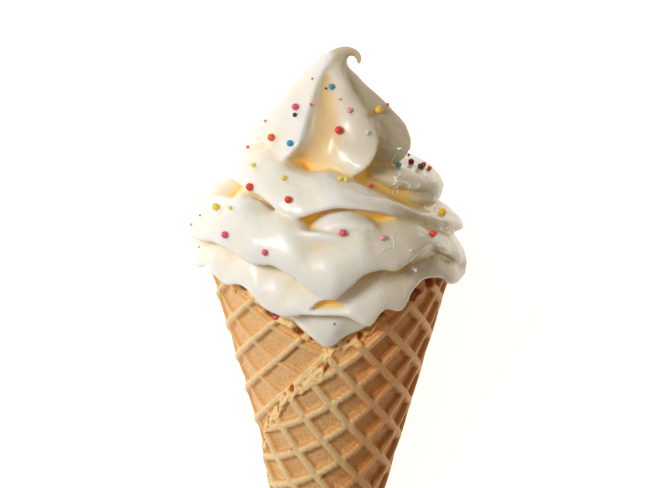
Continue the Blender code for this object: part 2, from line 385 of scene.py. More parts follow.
@dataclass(frozen=True)
class ConeSizes:
    """Sizes of the rolled wafer. Heights along it are measured up from the cone's apex."""

    half_angle: float = 15.33
    mouth_radius: float = 33.7
    mouth_height: float = 125.0
    rim_height: float = 127.5
    notch_depth: float = 17.7
    notch_half: float = 50.0
    edge_top: float = 104.2
    edge_fall: float = 0.35
    edge_bend: float = 0.0022
    edge_rise: float = 5.6
    edge_rise_width: float = 5.0
    edge_step: float = 0.8
    thickness: float = 1.6
    tip_height: float = 15.0
    tip_length: float = 4.0
    tip_roundness: float = 0.97
    least_overlap: float = 5.0
    end_margin: float = 5.0
    inner_tip_height: float = 24.0
    rim_wear: tuple[Waves, ...] = (Waves(3, 0.22, 0.40), Waves(4, 0.09, 0.20))
    edge_wear: tuple[Waves, ...] = (Waves(5, 0.22, 0.55), Waves(6, 0.09, 0.22))
    lattices_meet: Span = (189.0, 171.0)
    # Painted shade on the wafer's right side, away from the key light: it starts at the first sine of the
    # azimuth and is full at the second.
    side_shade_span: Span = (-0.45, 0.80)

    def plain_rim(self, azimuth: np.ndarray) -> np.ndarray:
        """Reads the rim before it is worn.

        Args:
            azimuth: Angle from the front, in radians.

        Returns:
            The rim's height up from the apex.
        """
        from_front = np.abs((np.degrees(azimuth) + 180) % 360 - 180)
        return self.rim_height - self.notch_depth * np.clip(1 - from_front / self.notch_half, 0, 1)


@dataclass(frozen=True)
class LatticeSizes:
    """The waffle iron's pattern on the flat sheet: two sets of ridges, and a place where they cross."""

    turns: Span = (54.9, 144.9)
    pitches: Span = (8.6, 8.6)
    heights: Span = (1.0, 1.0)
    node: Span = (101.0, 7.55)
    top_half: float = 0.62
    base_half: float = 1.75
    depth: float = 1.5


UNDER_LATTICE = LatticeSizes(
    turns=(23.2, 129.5),
    pitches=(10.0, 8.4),
    heights=(0.72, 1.0),
    node=(107.0, -16.0),
    top_half=0.5,
    base_half=1.45,
)


@dataclass(frozen=True)
class Pit:
    """A burst bubble in the border: where it is, how wide along the edge and how high."""

    azimuth: float
    below: float
    width: float
    height: float


@dataclass(frozen=True)
class BorderSizes:
    """Sizes of the crumbly border, where the batter ran out at the iron's edge."""

    width: float = 2.2
    edge_width: float = 2.6
    front_extra: float = 2.0
    front_middle: float = 20.0
    front_spread: float = 17.0
    bevel_height: float = 2.2
    rim_bevel: float = 1.5
    edge_bevel: float = 0.35
    slope_height: float = 2.8
    slope_power: float = 1.35
    crumb: float = 0.12
    crumb_length: float = 1.9
    crumb_lift: float = 0.15
    chip: float = 0.18
    chip_length: float = 3.0
    chip_cover: float = 0.6
    crest: float = 0.80
    proud: float = 0.35
    fade: Span = (1.0, 0.5)
    slope_fade: float = 4.0
    rim_lift: float = 0.35
    small_pits: int = 26
    least_pit: Pit = Pit(-180.0, -1.6, 0.25, 0.25)
    most_pit: Pit = Pit(180.0, 2.0, 0.60, 0.60)
    pit_wall: Span = (1.15, 0.35)
    pit_depth: float = 0.85


RIM_PITS = (
    Pit(16.7, 2.3, 1.0, 1.25),
    Pit(4.0, 1.2, 0.6, 0.5),
    Pit(10.5, 1.0, 0.5, 0.5),
    Pit(26.0, 0.2, 2.2, 1.0),
    Pit(44.0, 2.4, 2.3, 1.9),
    Pit(53.0, 1.4, 2.0, 1.9),
    Pit(-16.3, 0.7, 1.9, 1.4),
    Pit(-8.5, 0.5, 1.3, 1.0),
    Pit(-30.5, 1.3, 2.8, 1.4),
    Pit(-37.0, 3.0, 0.6, 0.6),
    Pit(-46.2, 0.6, 2.4, 1.5),
    Pit(-51.0, 4.4, 0.7, 0.8),
    Pit(-73.0, 1.7, 2.0, 2.2),
)

EDGE_PITS = (
    Pit(-3.0, -0.6, 0.7, 0.8),
    Pit(-22.5, -1.2, 0.9, 1.5),
    Pit(-28.0, -1.6, 0.8, 0.9),
    Pit(-36.0, -1.4, 1.0, 1.0),
    Pit(-47.0, -1.2, 0.9, 1.4),
    Pit(-61.0, -1.4, 1.2, 1.3),
)


@dataclass(frozen=True)
class Grid:
    """How finely the wafer is divided."""

    columns: int = 504
    tip_rows: int = 6
    lower_rows: int = 98
    slope_rows: int = 9
    upper_rows: int = 68
    rim_rows: int = 5
    inner_rows: int = 6
    border_share: float = 0.2
    border_height: float = 4.0
    least_lower_share: float = 0.3

    def shares(self, rows: int, length: np.ndarray) -> list[np.ndarray]:
        """Spreads rows up to an edge, closer together in the border just below it.

        Args:
            rows: How many rows there are.
            length: How far it is to the edge, for each column.

        Returns:
            The share of that length at which each row lies, for each column.
        """
        fine = int(rows * self.border_share)
        turn_share = np.clip(1 - self.border_height / np.maximum(length, 1.0), self.least_lower_share, 1.0)
        lower = [turn_share * share for share in np.linspace(0, 1, rows - fine, endpoint=False)]
        return lower + [turn_share + (1 - turn_share) * share for share in np.linspace(0, 1, fine)]


@dataclass(frozen=True)
class Relief:
    """One row of the wafer's outside: how far it stands out, and how much of each thing it is."""

    out: np.ndarray
    ridge: np.ndarray
    border: np.ndarray
    pit: np.ndarray
    crumb: np.ndarray

    def faded(self, share: np.ndarray) -> Relief:
        """Keeps the row's form and fades its border away.

        Args:
            share: How much of the border stays.

        Returns:
            The faded row.
        """
        return Relief(self.out, self.ridge, self.border * share, self.pit * share, self.crumb * share)

    def beside(self, other: Relief) -> Relief:
        """Mixes in the border of the layer that lies on this one.

        Args:
            other: The other layer's row.

        Returns:
            This row's form, with both borders.
        """
        part = other.border
        return Relief(
            self.out,
            self.ridge * (1 - part),
            np.maximum(self.border, part),
            np.maximum(self.pit * (1 - part), other.pit),
            self.crumb * (1 - part) + other.crumb * part,
        )


class WaffleCone:
    """The rolled wafer: its layers, loose edge, notch, lattice, ragged rim and pits."""

    def __init__(
        self, sizes: ConeSizes, lattice: LatticeSizes, under: LatticeSizes, border: BorderSizes, grid: Grid
    ) -> None:
        """Keeps the sizes and works out the lines that everything else follows.

        Args:
            sizes: The rolled wafer.
            lattice: The pattern on its outer layer.
            under: The pattern on the layer under that.
            border: Its crumbly border.
            grid: How finely it is divided.
        """
        self.sizes, self.lattice, self.under, self.border, self.grid = sizes, lattice, under, border, grid
        self.crumbs = Ripple(21, border.crumb_length, 30, 2)
        self.chips = Ripple(22, border.chip_length, 30, 2)
        self.roll = np.linspace(0, FULL_TURN, grid.columns, endpoint=False)
        self.slope = sizes.mouth_radius / sizes.mouth_height
        self.inside = -2.0 * sizes.thickness
        self.rim, self.edge, self.ending = self._lines()

    def _lines(self) -> tuple[np.ndarray, np.ndarray, np.ndarray]:
        """Returns: The rim's height, the loose edge's height and how much of the outer layer is left."""
        sizes = self.sizes
        rim = sizes.plain_rim(-self.roll)
        turned = np.degrees(self.roll)
        edge = sizes.edge_top - (sizes.edge_fall + sizes.edge_bend * turned) * turned
        edge = edge + sizes.edge_rise * np.exp(-turned / sizes.edge_rise_width)
        circle = np.stack([np.cos(self.roll), np.sin(self.roll)], axis=1)
        for wear in sizes.rim_wear:
            rim = rim + wear.read(circle)
        for wear in sizes.edge_wear:
            edge = edge + wear.read(circle)
        edge = np.minimum(edge, rim - 2 * sizes.edge_step)
        least = sizes.tip_height + sizes.least_overlap
        ending = np.clip((edge - least) / sizes.least_overlap, 0, 1)
        edge = np.maximum(edge, least)
        ended = turned[np.argmax(ending == 0)] + sizes.end_margin
        return rim, edge + (edge[0] - edge) * ramp(turned, ended, 360.0), ending

    def sheet_place(self, height: np.ndarray, sheet_turn: np.ndarray) -> tuple[np.ndarray, np.ndarray]:
        """Finds a point of the cone on the flat sheet.

        Args:
            height: Height along the axis, up from the apex.
            sheet_turn: Angle round the cone, which may pass a full turn, in radians.

        Returns:
            The place on the sheet, along and across its middle line.
        """
        half = math.radians(self.sizes.half_angle)
        slant, turned = height / math.cos(half), sheet_turn * math.sin(half)
        return slant * np.cos(turned), slant * np.sin(turned)

    def ridge(self, lattice: LatticeSizes, height: np.ndarray, sheet_turn: np.ndarray) -> np.ndarray:
        """Reads a lattice.

        Args:
            lattice: The pattern.
            height: Height along the axis, up from the apex.
            sheet_turn: Angle round the cone, in radians.

        Returns:
            1 on a ridge's top, 0 on a cell's floor and between them on its walls.
        """
        along, across = self.sheet_place(height, sheet_turn)
        top = np.zeros_like(self.roll)
        for turn, pitch, share in zip(np.radians(lattice.turns), lattice.pitches, lattice.heights):
            line = (along - lattice.node[0]) * math.cos(turn) + (across - lattice.node[1]) * math.sin(turn)
            away = np.abs(line - np.round(line / pitch) * pitch)
            top = np.maximum(top, share * ramp(away, lattice.base_half, lattice.top_half))
        return top

    def _top(self, height: np.ndarray, outer: np.ndarray) -> np.ndarray:
        """Reads the lattice of whichever layer shows.

        Args:
            height: Height along the axis, up from the apex.
            outer: Where the outer layer shows.

        Returns:
            The same as ridge().
        """
        flap = self.ridge(self.lattice, height, -self.roll)
        right = self.ridge(self.lattice, height, FULL_TURN - self.roll)
        left = self.ridge(self.under, height, -self.roll)
        under = right + (left - right) * ramp(np.degrees(self.roll), *self.sizes.lattices_meet)
        return np.where(outer, flap, under)

    def _more_pits(self, given: tuple[Pit, ...], seed: int) -> tuple[Pit, ...]:
        """Adds small burst bubbles all round.

        Args:
            given: The pits that are placed by hand.
            seed: Which small ones are drawn.

        Returns:
            All of them.
        """
        draw = np.random.default_rng(seed)
        low, high = astuple(self.border.least_pit), astuple(self.border.most_pit)
        rows = draw.uniform(low, high, size=(self.border.small_pits, len(low)))
        return given + tuple(Pit(*row) for row in rows.tolist())

    def _pitted(self, height: np.ndarray, line: np.ndarray, pits: tuple[Pit, ...]) -> np.ndarray:
        """Reads how deep the pits are at each point of a row.

        Args:
            height: Each point's height up from the apex.
            line: The height of the edge that the pits follow.
            pits: The pits along it.

        Returns:
            The depth in millimetres, 0 outside the pits.
        """
        deepest = np.zeros_like(self.roll)
        azimuth = np.degrees(-self.roll)
        for pit in pits:
            away = np.radians((azimuth - pit.azimuth + 180) % 360 - 180) * height * self.slope
            middle = np.interp(math.radians(-pit.azimuth) % FULL_TURN, self.roll, line) - pit.below
            part = (away / pit.width) ** 2 + ((height - middle) / pit.height) ** 2
            depth = self.border.pit_depth * min(pit.width, pit.height)
            deepest = np.maximum(deepest, ramp(part, *self.border.pit_wall) * depth)
        return deepest

    def relief(
        self, height: np.ndarray, turn: np.ndarray, line: np.ndarray, pits: tuple[Pit, ...], bevel: float
    ) -> Relief:
        """Works out the outside of one row.

        Args:
            height: Height up from the apex, for each column.
            turn: Angle round the sheet, in radians.
            line: The height of that layer's edge.
            pits: The pits along it.
            bevel: How far the layer thins towards that edge.

        Returns:
            How far each point stands out, and the masks its finish reads.
        """
        lattice, sizes = self.lattice, self.border
        to_edge = line - height
        from_middle = (np.degrees(-self.roll) - sizes.front_middle + 180) % 360 - 180
        at_rim = bevel == sizes.rim_bevel
        front = np.exp(-((from_middle / sizes.front_spread) ** 2)) * at_rim
        width = (sizes.width if at_rim else sizes.edge_width) + sizes.front_extra * front
        near = ramp(to_edge / width, *sizes.fade)
        top = self._top(height, turn <= 0)
        place = np.stack(self.sheet_place(height, turn), axis=1)
        chipped = np.minimum(self.chips(place) + sizes.chip_cover, 0) * sizes.chip
        crumb = self.crumbs(place) * sizes.crumb + chipped
        pit = self._pitted(height, line, pits)
        reach = sizes.bevel_height + sizes.front_extra * front
        thinned = bevel * (1 + front) * np.clip(1 - to_edge / reach, 0, 1)
        shape = top * (1 - near) + sizes.crest * near
        raised = (crumb + sizes.crumb_lift) * near
        out = lattice.depth * (shape - 1) + sizes.proud - thinned + raised - pit
        return Relief(out, top * (1 - near), near, pit, crumb / sizes.crumb * near)

    def _row(self, height: np.ndarray, offset: np.ndarray) -> np.ndarray:
        """Places one row of points.

        Args:
            height: Height up from the apex, for each column.
            offset: How far out of the plain cone, for each column.

        Returns:
            One point for each column, in metres.
        """
        height = np.broadcast_to(height, self.roll.shape)
        radius = height * self.slope + np.maximum(offset, self.inside)
        across, depth = -radius * np.sin(self.roll), -radius * np.cos(self.roll)
        return np.stack([across, depth, height - self.sizes.mouth_height], axis=1) * MM

    def build(self) -> bpy.types.Object:
        """Returns: The wafer as one closed mesh in the upright frame, with the masks its finish reads."""
        sizes, border, grid = self.sizes, self.border, self.grid
        single = sizes.thickness * (self.roll / FULL_TURN - 1)
        double = single + sizes.thickness * self.ending
        base_turn, flap_turn = FULL_TURN - self.roll, -self.roll
        rim_pits, edge_pits = self._more_pits(RIM_PITS, 31), self._more_pits(EDGE_PITS, 32)
        rows: list[np.ndarray] = []
        looks: list[Relief] = []

        for share in np.linspace(0, 1, grid.tip_rows, endpoint=False):
            rounded = math.sqrt(1 - (1 - share) ** 2 * sizes.tip_roundness)
            height = np.full_like(self.roll, sizes.tip_height - sizes.tip_length * (1 - share))
            look = self.relief(height, flap_turn, self.edge, (), 0.0)
            radius = (sizes.tip_height * self.slope + double) * rounded + look.out * share
            rows.append(self._row(height, radius - height * self.slope))
            looks.append(look)
        for share in grid.shares(grid.lower_rows, self.edge - sizes.tip_height):
            height = sizes.tip_height + (self.edge - sizes.tip_height) * share
            turn = np.where(self.ending > 0, flap_turn, base_turn)
            line = np.where(self.ending > 0, self.edge, self.rim)
            look = self.relief(height, turn, line, edge_pits, border.edge_bevel)
            rows.append(self._row(height, double + look.out))
            looks.append(look.faded(self.ending))
        slope_top = np.minimum(self.edge + border.slope_height, self.rim - sizes.edge_step)
        at_edge = double + looks[-1].out
        for share in np.linspace(0, 1, grid.slope_rows + 1)[1:]:
            height = self.edge + (slope_top - self.edge) * share
            base = self.relief(height, base_turn, self.rim, rim_pits, border.rim_bevel)
            look = self.relief(height, flap_turn, self.edge, edge_pits, 0.0)
            left = (1 - share) ** (1 / border.slope_power)
            worn = (look.crumb * border.crumb - look.pit) * math.sqrt(share) * left
            out = single + base.out
            rows.append(self._row(height, out + ((at_edge - out) * left + worn) * self.ending))
            looks.append(base.beside(look.faded(self.ending * min(1.0, border.slope_fade * left))))
        for share in grid.shares(grid.upper_rows, self.rim - slope_top)[1:]:
            height = slope_top + (self.rim - slope_top) * share
            look = self.relief(height, base_turn, self.rim, rim_pits, border.rim_bevel)
            rows.append(self._row(height, single + look.out))
            looks.append(look)
        inside = np.full_like(self.roll, self.inside)
        at_rim = looks[-1]
        for share in np.linspace(0, 1, grid.rim_rows + 2)[1:-1]:
            lift = border.rim_lift * math.sin(math.pi * share)
            outside = single + at_rim.out
            rows.append(self._row(self.rim + lift, outside + (inside - outside) * share))
            looks.append(at_rim)
        for share in np.linspace(0, 1, grid.inner_rows):
            rows.append(self._row(self.rim + (sizes.inner_tip_height - self.rim) * share, inside))
            looks.append(at_rim.faded(np.full_like(self.roll, 1.0 - share)))
        made = MeshMaker.loft("waffle_cone_baked", np.array(rows))
        names = ("ridge", "border", "pit", "crumb")
        masks = {name: np.ravel([getattr(look, name) for look in looks]) for name in names}
        # Painted shade mask: 0 on the lit left side, rising to 1 on the right side, away from the key light.
        masks["painted_side_shade"] = np.tile(ramp(-np.sin(self.roll), *sizes.side_shade_span), len(looks))
        for name, values in masks.items():
            MeshMaker.write_mask(made.data, name, np.concatenate([values, [0.0, 0.0]]))
        return made


# --------------------------------------------------------------------------------------------------------
# Ice cream
# --------------------------------------------------------------------------------------------------------


@dataclass(frozen=True)
class Fold:
    """A crest that winds round the axis, with the ice cream that hangs behind it.

    One row is azimuth, height, radius, droop and thickness. Azimuth is from the front, to the viewer's right.
    Droop is how far the lip points down, and thickness is how far the fold swells above its middle. A fold
    starts and ends inside the core.
    """

    name: str
    rows: Rows
    reach: float = 17.0
    under: float = 2.6
    sharpness: float = 0.16
    step: float = 3.0
    points: int = 28

    def rings(self) -> np.ndarray:
        """Returns: Teardrop sections along the fold, with the teardrop's point on the crest, in metres."""
        count = int((self.rows[-1][0] - self.rows[0][0]) / self.step) + 2
        around = np.linspace(0, FULL_TURN, self.points, endpoint=False)
        inward = (1 - np.cos(around)) / 2
        shape = np.sin(around) * inward**self.sharpness
        made = []
        for azimuth, height, radius, droop, thickness in smooth_rows(self.rows, count):
            turn, lean = math.radians(azimuth), math.radians(droop)
            half = np.where(shape > 0, shape * thickness, shape * self.under)
            out = radius - inward * self.reach * math.cos(lean) + half * math.sin(lean)
            up = height + inward * self.reach * math.sin(lean) + half * math.cos(lean)
            made.append(np.stack([out * math.sin(turn), -out * math.cos(turn), up], axis=1) * MM)
        return np.array(made)


FOLDS = (
    Fold(
        "upper_turn",
        (
            (-230, 33, 14, 0, 6), (-180, 31, 21, 5, 6), (-130, 28, 25, 15, 6), (-86, 24.9, 26.8, 20, 6),
            (-59, 26, 27.5, 25, 5.2), (-46, 26.2, 28.5, 22, 4.8), (-35, 25.4, 29.8, 20, 4.8),
            (-24, 23.4, 31, 20, 5), (-15, 22.6, 31.5, 20, 5.4), (-6, 24.0, 31, 15, 5),
            (5, 25.4, 30.6, 10, 4), (24, 23.4, 31, 5, 4), (40, 20.6, 31, 0, 4), (56, 17.5, 29, 0, 4),
        ),
    ),
    Fold(
        "ledge",
        (
            (-40, 26, 15, -15, 3), (-22, 28.5, 21, -22, 2.6), (0, 29.2, 25.4, -28, 2.4),
            (15, 27.8, 28.2, -28, 2.4), (34, 24.6, 30.6, -22, 2.6), (46, 21.2, 31.6, -15, 3),
            (58, 17.4, 32.2, -5, 3.6), (74, 13.2, 34.4, 0, 4), (90, 9.6, 35.8, 5, 4), (105, 8, 34, 5, 4),
            (120, 8, 28, 5, 4),
        ),
        under=5.0,
    ),
    Fold(
        "skirt",
        (
            (58, 16, 24, 0, 4), (74, 12.6, 32, 0, 4.4), (90, 8.8, 36.4, 10, 4.6), (112, 7.5, 36.6, 15, 5),
            (145, 6, 36.8, 15, 5), (180, 4, 37, 15, 5), (225, 2.0, 37.6, 20, 4.5), (262, 1.4, 38, 30, 4),
            (276, 1.2, 38.2, 35, 4), (291, 2.4, 38, 40, 4), (299, 4.4, 37.4, 40, 4),
            (305, 3.4, 37.4, 45, 4), (312, 1.6, 37, 45, 4), (318, 2.6, 36.8, 45, 4), (325, 2.0, 37, 50, 4),
            (333, -1.8, 37, 50, 4), (342, -3.4, 36.8, 50, 4), (352, -2.6, 36.5, 45, 3),
            (367, -3, 36.3, 45, 3), (377, -6.2, 36.5, 55, 4), (384, -2.4, 36, 50, 4),
            (392, -3.2, 36.2, 50, 4), (398, 1.2, 36, 45, 4), (405, 3.3, 36, 40, 4), (415, 2, 36.4, 45, 4),
            (424, -1.6, 37, 45, 4), (436, -2.2, 37, 40, 4), (450, -2.4, 36.9, 35, 4),
            (470, -1, 35.5, 25, 4), (495, 0, 30, 15, 4),
        ),
    ),
    Fold(
        "shoulder",
        (
            (52, 22, 20, 0, 3), (66, 20.6, 27.4, 0, 3.4), (80, 19.6, 29.8, 0, 4), (95, 19, 30.6, 0, 4),
            (115, 18.4, 30.6, 0, 4), (140, 17.6, 30, 0, 4), (170, 17, 26, 0, 4),
        ),
        under=6.0,
    ),
    Fold(
        "lower_turn",
        (
            (40, 28, 18, 0, 5), (65, 24, 27, 5, 5), (85, 21, 30.6, 10, 5), (110, 19.5, 31.5, 10, 6),
            (145, 17.5, 33, 10, 6), (180, 15, 35, 10, 7), (225, 12, 37.5, 10, 7), (262, 9.2, 39.3, 15, 7),
            (273, 8.9, 39.4, 20, 7), (294, 11.6, 39.2, 20, 7), (308, 13.2, 38.9, 25, 7),
            (318, 12.6, 38.6, 30, 7), (328, 10.3, 38.4, 35, 7), (338, 10.6, 37.8, 35, 7),
            (346, 8, 38, 40, 7), (353, 4.6, 38.4, 40, 7.5), (361, 2.5, 38.7, 45, 8),
            (367, 5, 38.2, 40, 7.5), (374, 8.6, 37.6, 35, 7), (381, 9.6, 37.4, 30, 6),
            (389, 8.8, 38, 30, 6), (397, 11.4, 37.7, 25, 5), (407, 13, 37, 15, 4), (414, 10, 37.2, 20, 4),
            (431, 3.8, 37.3, 30, 5), (450, -2, 36.9, 35, 6), (480, -4, 36.4, 30, 7), (540, -6, 36, 25, 7),
            (600, -6, 35.5, 20, 6), (630, -4, 30, 10, 5),
        ),
    ),
    Fold(
        "middle",
        (
            (-75, 20, 26, 0, 3), (-50, 20.6, 31, -15, 2.6), (-34, 21, 33, -25, 2.2),
            (-12, 19.8, 34.3, -30, 2), (0, 19.2, 34.8, -30, 2), (21, 16.5, 35.5, -30, 2),
            (34, 14.2, 35.8, -25, 2.2), (47, 12.8, 36, -15, 2.6), (65, 10.6, 34.5, -5, 3),
            (85, 8, 29, 0, 3),
        ),
        under=6.0,
    ),
    Fold(
        "tuck",
        (
            (-14, 15, 26, 0, 3), (-6, 19.0, 31, -5, 3), (4, 20.8, 33, -5, 3.4), (17, 20.0, 33.4, -5, 3.4),
            (26, 18.0, 32, -5, 3), (36, 15, 26, 0, 3),
        ),
        under=5.5,
    ),
    Fold(
        "filling",
        (
            (-32, -4, 27, 60, 6), (-18, -6.7, 30, 65, 6), (-9, -11, 30, 70, 6), (0, -14.2, 29.8, 75, 6),
            (9, -11, 30, 70, 6), (20, -8, 30.6, 65, 6), (34, -4, 27, 60, 6),
        ),
        under=3.0,
    ),
)

CORE = ((33, 9), (28, 15), (24, 20), (17, 25), (9, 29), (2, 30.5), (-3, 30.5), (-7, 29))


@dataclass(frozen=True)
class PeakSizes:
    """The fluted peak and the curl at its top. One row is height, sideways shift and radius."""

    body: Rows = (
        (24, 0, 15), (28, 0.2, 18.4), (31.5, 0.6, 21.6), (34.5, 0.9, 22.0), (38, 0.7, 20.2),
        (42, 0.6, 17.2), (46, 0.4, 13.4), (50, 0.2, 9.4), (53.4, 0.6, 6.2), (56.0, 2.0, 3.8),
    )
    curl: Rows = ((57.7, 3.9, 2.2), (58.2, 5.6, 1.5), (57.6, 7.1, 1.1), (56.0, 8.0, 0.8), (54.4, 7.9, 0.45))
    flutes: Rows = (
        (-84, 0.08, 1.0), (-25, 0.34, 0.6), (41, 0.26, 0.6), (88, 0.16, 1.0), (150, 0.18, 1.0),
        (222, 0.14, 1.0),
    )
    fullness: float = 0.8
    straight_top: float = 50.0
    lean_height: float = 8.0
    curl_shift: float = 4.0
    twist: float = 22.0
    twist_height: float = 9.0
    twist_top: float = 38.0
    around: int = 128
    along: int = 90


@dataclass(frozen=True)
class Gap:
    """An arched gap left between two turns, as the viewer sees it."""

    across: float = 0.1
    up: float = -13.3
    half_width: float = 4.3
    height: float = 2.5
    depth: float = 3.4
    rounding: float = 0.5
    front_from: float = 21.5

    def carve(self, points: np.ndarray) -> np.ndarray:
        """Pushes the front of the ice cream in where the gap is.

        Args:
            points: Points in the upright frame, in metres.

        Returns:
            The moved points.
        """
        turn = math.radians(VIEW_ELEVATION)
        shown = points[:, 2] * math.cos(turn) + points[:, 1] * math.sin(turn)
        above = shown / MM - self.up
        arch = self.height * (1 - ((points[:, 0] / MM - self.across) / self.half_width) ** 2)
        inside = ramp(np.minimum(above, arch - above), -self.rounding, self.rounding)
        front = points[:, 1] < -self.front_from * MM
        moved = points.copy()
        moved[:, 1] += np.where(front, inside, 0.0) * self.depth * MM
        return moved


@dataclass(frozen=True)
class SwirlSizes:
    """How the ice cream is run together, how it sits in the wafer, where it melts and where light and shade
    are painted on it.

    Its plug is measured up from the cone's apex. Its sides are in degrees round to the viewer's right.
    """

    voxel: float = 0.5
    most_triangles: int = 190_000
    rim_slack: float = 0.3
    plug: Span = (70.0, 123.0)
    plug_rings: int = 6
    melt_rounds: int = 8
    hollow_rounds: int = 120
    valley_rounds: int = 480
    mask_share: float = 0.9
    flow_marks: tuple[Waves, ...] = (Waves(11, 9.0 * MM, 0.10), Waves(12, 3.2 * MM, 0.025))
    # The heights where the peak's flutes get painted shade.
    flute_shade_heights: Rise = (29.0, 33.0, 52.0, 56.0)
    # The melting right side, which is glossier and gets painted shade, and its wet film, which gets painted
    # highlights.
    melting_shaded_side: Rise = (0.0, 55.0, 135.0, 175.0)
    film_side: Rise = (16.0, 34.0, 78.0, 100.0)
    film_heights: Rise = (-6.0, 0.0, 30.0, 38.0)


class Swirl:
    """The ice cream: core, folds and peak, run together into one body and softened as it melts."""

    def __init__(self, cone: ConeSizes, peak: PeakSizes, folds: tuple[Fold, ...], sizes: SwirlSizes) -> None:
        """Keeps the sizes.

        Args:
            cone: The wafer that it sits in.
            peak: The peak.
            folds: The folds below the peak.
            sizes: How they are run together, and where they melt.
        """
        self.cone, self.peak, self.folds, self.sizes = cone, peak, folds, sizes

    def _flute(self, azimuth: np.ndarray) -> np.ndarray:
        """Reads the flutes.

        Args:
            azimuth: Angle from the front, in radians.

        Returns:
            The share of the peak's radius at each angle: 1 on a crest and less between two crests.
        """
        share = np.ones_like(azimuth)
        flutes = self.peak.flutes
        for k, (crest, depth, skew) in enumerate(flutes):
            width = (flutes[(k + 1) % len(flutes)][0] - crest) % 360
            across = ((np.degrees(azimuth) - crest) % 360) / width
            inside = across < 1
            share[inside] = 1 - depth * np.sin(math.pi * across[inside] ** skew) ** self.peak.fullness
        return share

    def _peak_rings(self) -> np.ndarray:
        """Returns: Rings of the peak and its curl, each square to the line through their middles."""
        peak = self.peak
        rows = smooth_rows(peak.body + peak.curl, peak.along)
        around = np.linspace(0, FULL_TURN, peak.around, endpoint=False)
        rings = []
        for k, (height, sideways, radius) in enumerate(rows):
            ahead, behind = rows[min(k + 1, len(rows) - 1)], rows[max(k - 1, 0)]
            lean = math.atan2(ahead[1] - behind[1], ahead[0] - behind[0])
            if sideways < peak.curl_shift:
                lean *= min(1.0, max(0.0, (height - peak.straight_top) / peak.lean_height))
            low = min(1.0, max(0.0, (peak.twist_top - height) / peak.twist_height))
            size = radius * self._flute(around + math.radians(peak.twist) * low)
            across, depth = size * np.sin(around), -size * np.cos(around)
            ring = [sideways + across * math.cos(lean), depth, height - across * math.sin(lean)]
            rings.append(np.stack(ring, axis=1) * MM)
        return np.array(rings)

    @staticmethod
    def _turned(rows: list[tuple[float, float]], around: int = 96) -> np.ndarray:
        """Makes rings of a turned shape.

        Args:
            rows: Height and radius of each ring.
            around: Points in a ring.

        Returns:
            The rings, in metres.
        """
        angle = np.linspace(0, FULL_TURN, around, endpoint=False)
        across, depth, flat = np.sin(angle), -np.cos(angle), np.ones(around)
        return np.array([np.stack([r * across, r * depth, z * flat], axis=1) * MM for z, r in rows])

    def _fit(self, points: np.ndarray) -> np.ndarray:
        """Draws the ice cream in where it would be in the wafer's wall. Lips that hang outside it stay.

        Args:
            points: Points in the upright frame, in metres.

        Returns:
            The moved points.
        """
        cone, slack = self.cone, self.sizes.rim_slack
        height = points[:, 2] / MM + cone.mouth_height
        radius = np.hypot(points[:, 0], points[:, 1]) / MM
        outer = height * cone.mouth_radius / cone.mouth_height
        below = height < cone.plain_rim(np.arctan2(points[:, 0], -points[:, 1])) - slack
        room = outer - 2 * cone.thickness - slack
        inside = below & (radius > room) & (radius < outer + slack)
        share = np.where(inside, room / np.maximum(radius, 1.0), 1.0)
        return points * np.stack([share, share, np.ones_like(share)], axis=1)

    def build(self) -> bpy.types.Object:
        """Returns: The ice cream as one closed mesh in the upright frame, with the masks its finish reads."""
        cone, sizes = self.cone, self.sizes
        slope, slack = cone.mouth_radius / cone.mouth_height, 2 * cone.thickness + sizes.rim_slack
        heights = np.linspace(*sizes.plug, sizes.plug_rings)
        plug = [(s - cone.mouth_height, s * slope - slack) for s in heights]
        shapes = [
            MeshMaker.loft("core", self._turned([(float(z), float(r)) for z, r in CORE])),
            MeshMaker.loft("plug", self._turned(plug)),
            MeshMaker.loft("peak", self._peak_rings()),
        ]
        shapes += [MeshMaker.loft(fold.name, fold.rings()) for fold in self.folds]
        made = self._join(shapes)
        remesh = made.modifiers.new("run_together", "REMESH")
        remesh.mode = "VOXEL"
        remesh.voxel_size = sizes.voxel * MM
        MeshMaker.apply_modifiers(made)
        triangles = sum(len(face.vertices) - 2 for face in made.data.polygons)
        if triangles > sizes.most_triangles:
            fewer = made.modifiers.new("fewer_faces", "DECIMATE")
            fewer.ratio = sizes.most_triangles / triangles
            MeshMaker.apply_modifiers(made)
        self._melt(made.data)
        return made

    @staticmethod
    def _join(shapes: list[bpy.types.Object]) -> bpy.types.Object:
        """Puts the meshes of several objects into one object.

        Args:
            shapes: The objects, which are removed.

        Returns:
            The one object.
        """
        points, faces, start = [], [], 0
        for shape in shapes:
            points.append(MeshMaker.points(shape.data))
            faces += [tuple(start + k for k in face.vertices) for face in shape.data.polygons]
            start += len(shape.data.vertices)
            bpy.data.objects.remove(shape)
        return MeshMaker.from_arrays("soft_serve_swirl", np.vstack(points), faces)

    def _melt(self, mesh: bpy.types.Mesh) -> None:
        """Softens the surface, adds faint flow marks and stores the masks that the finish reads, most of them
        for its painted highlight and shade.

        Args:
            mesh: The run-together ice cream.
        """
        sizes = self.sizes
        points = MeshMaker.soften(mesh, MeshMaker.points(mesh), sizes.melt_rounds)
        MeshMaker.move_points(mesh, points)
        points = Gap().carve(points)
        MeshMaker.move_points(mesh, points)
        normals = MeshMaker.normals(mesh)
        waves = sum(mark.read(points) for mark in sizes.flow_marks)
        points = self._fit(points + normals * (waves * MM)[:, None])
        MeshMaker.move_points(mesh, points)
        normals = MeshMaker.normals(mesh)
        # How hollow each point is, near and wide: the finish paints highlight on crests and shade in hollows
        # from these.
        near = MeshMaker.soften(mesh, points, sizes.hollow_rounds, sizes.mask_share)
        wide = MeshMaker.soften(mesh, near, sizes.valley_rounds, sizes.mask_share)
        for name, softened in (("hollow", near), ("valley_shade", wide)):
            MeshMaker.write_mask(mesh, name, np.einsum("ij,ij->i", softened - points, normals) / MM)
        for name, values in zip(("flute_shade_mask", "melted", "film"), self._places(points)):
            MeshMaker.write_mask(mesh, name, values)

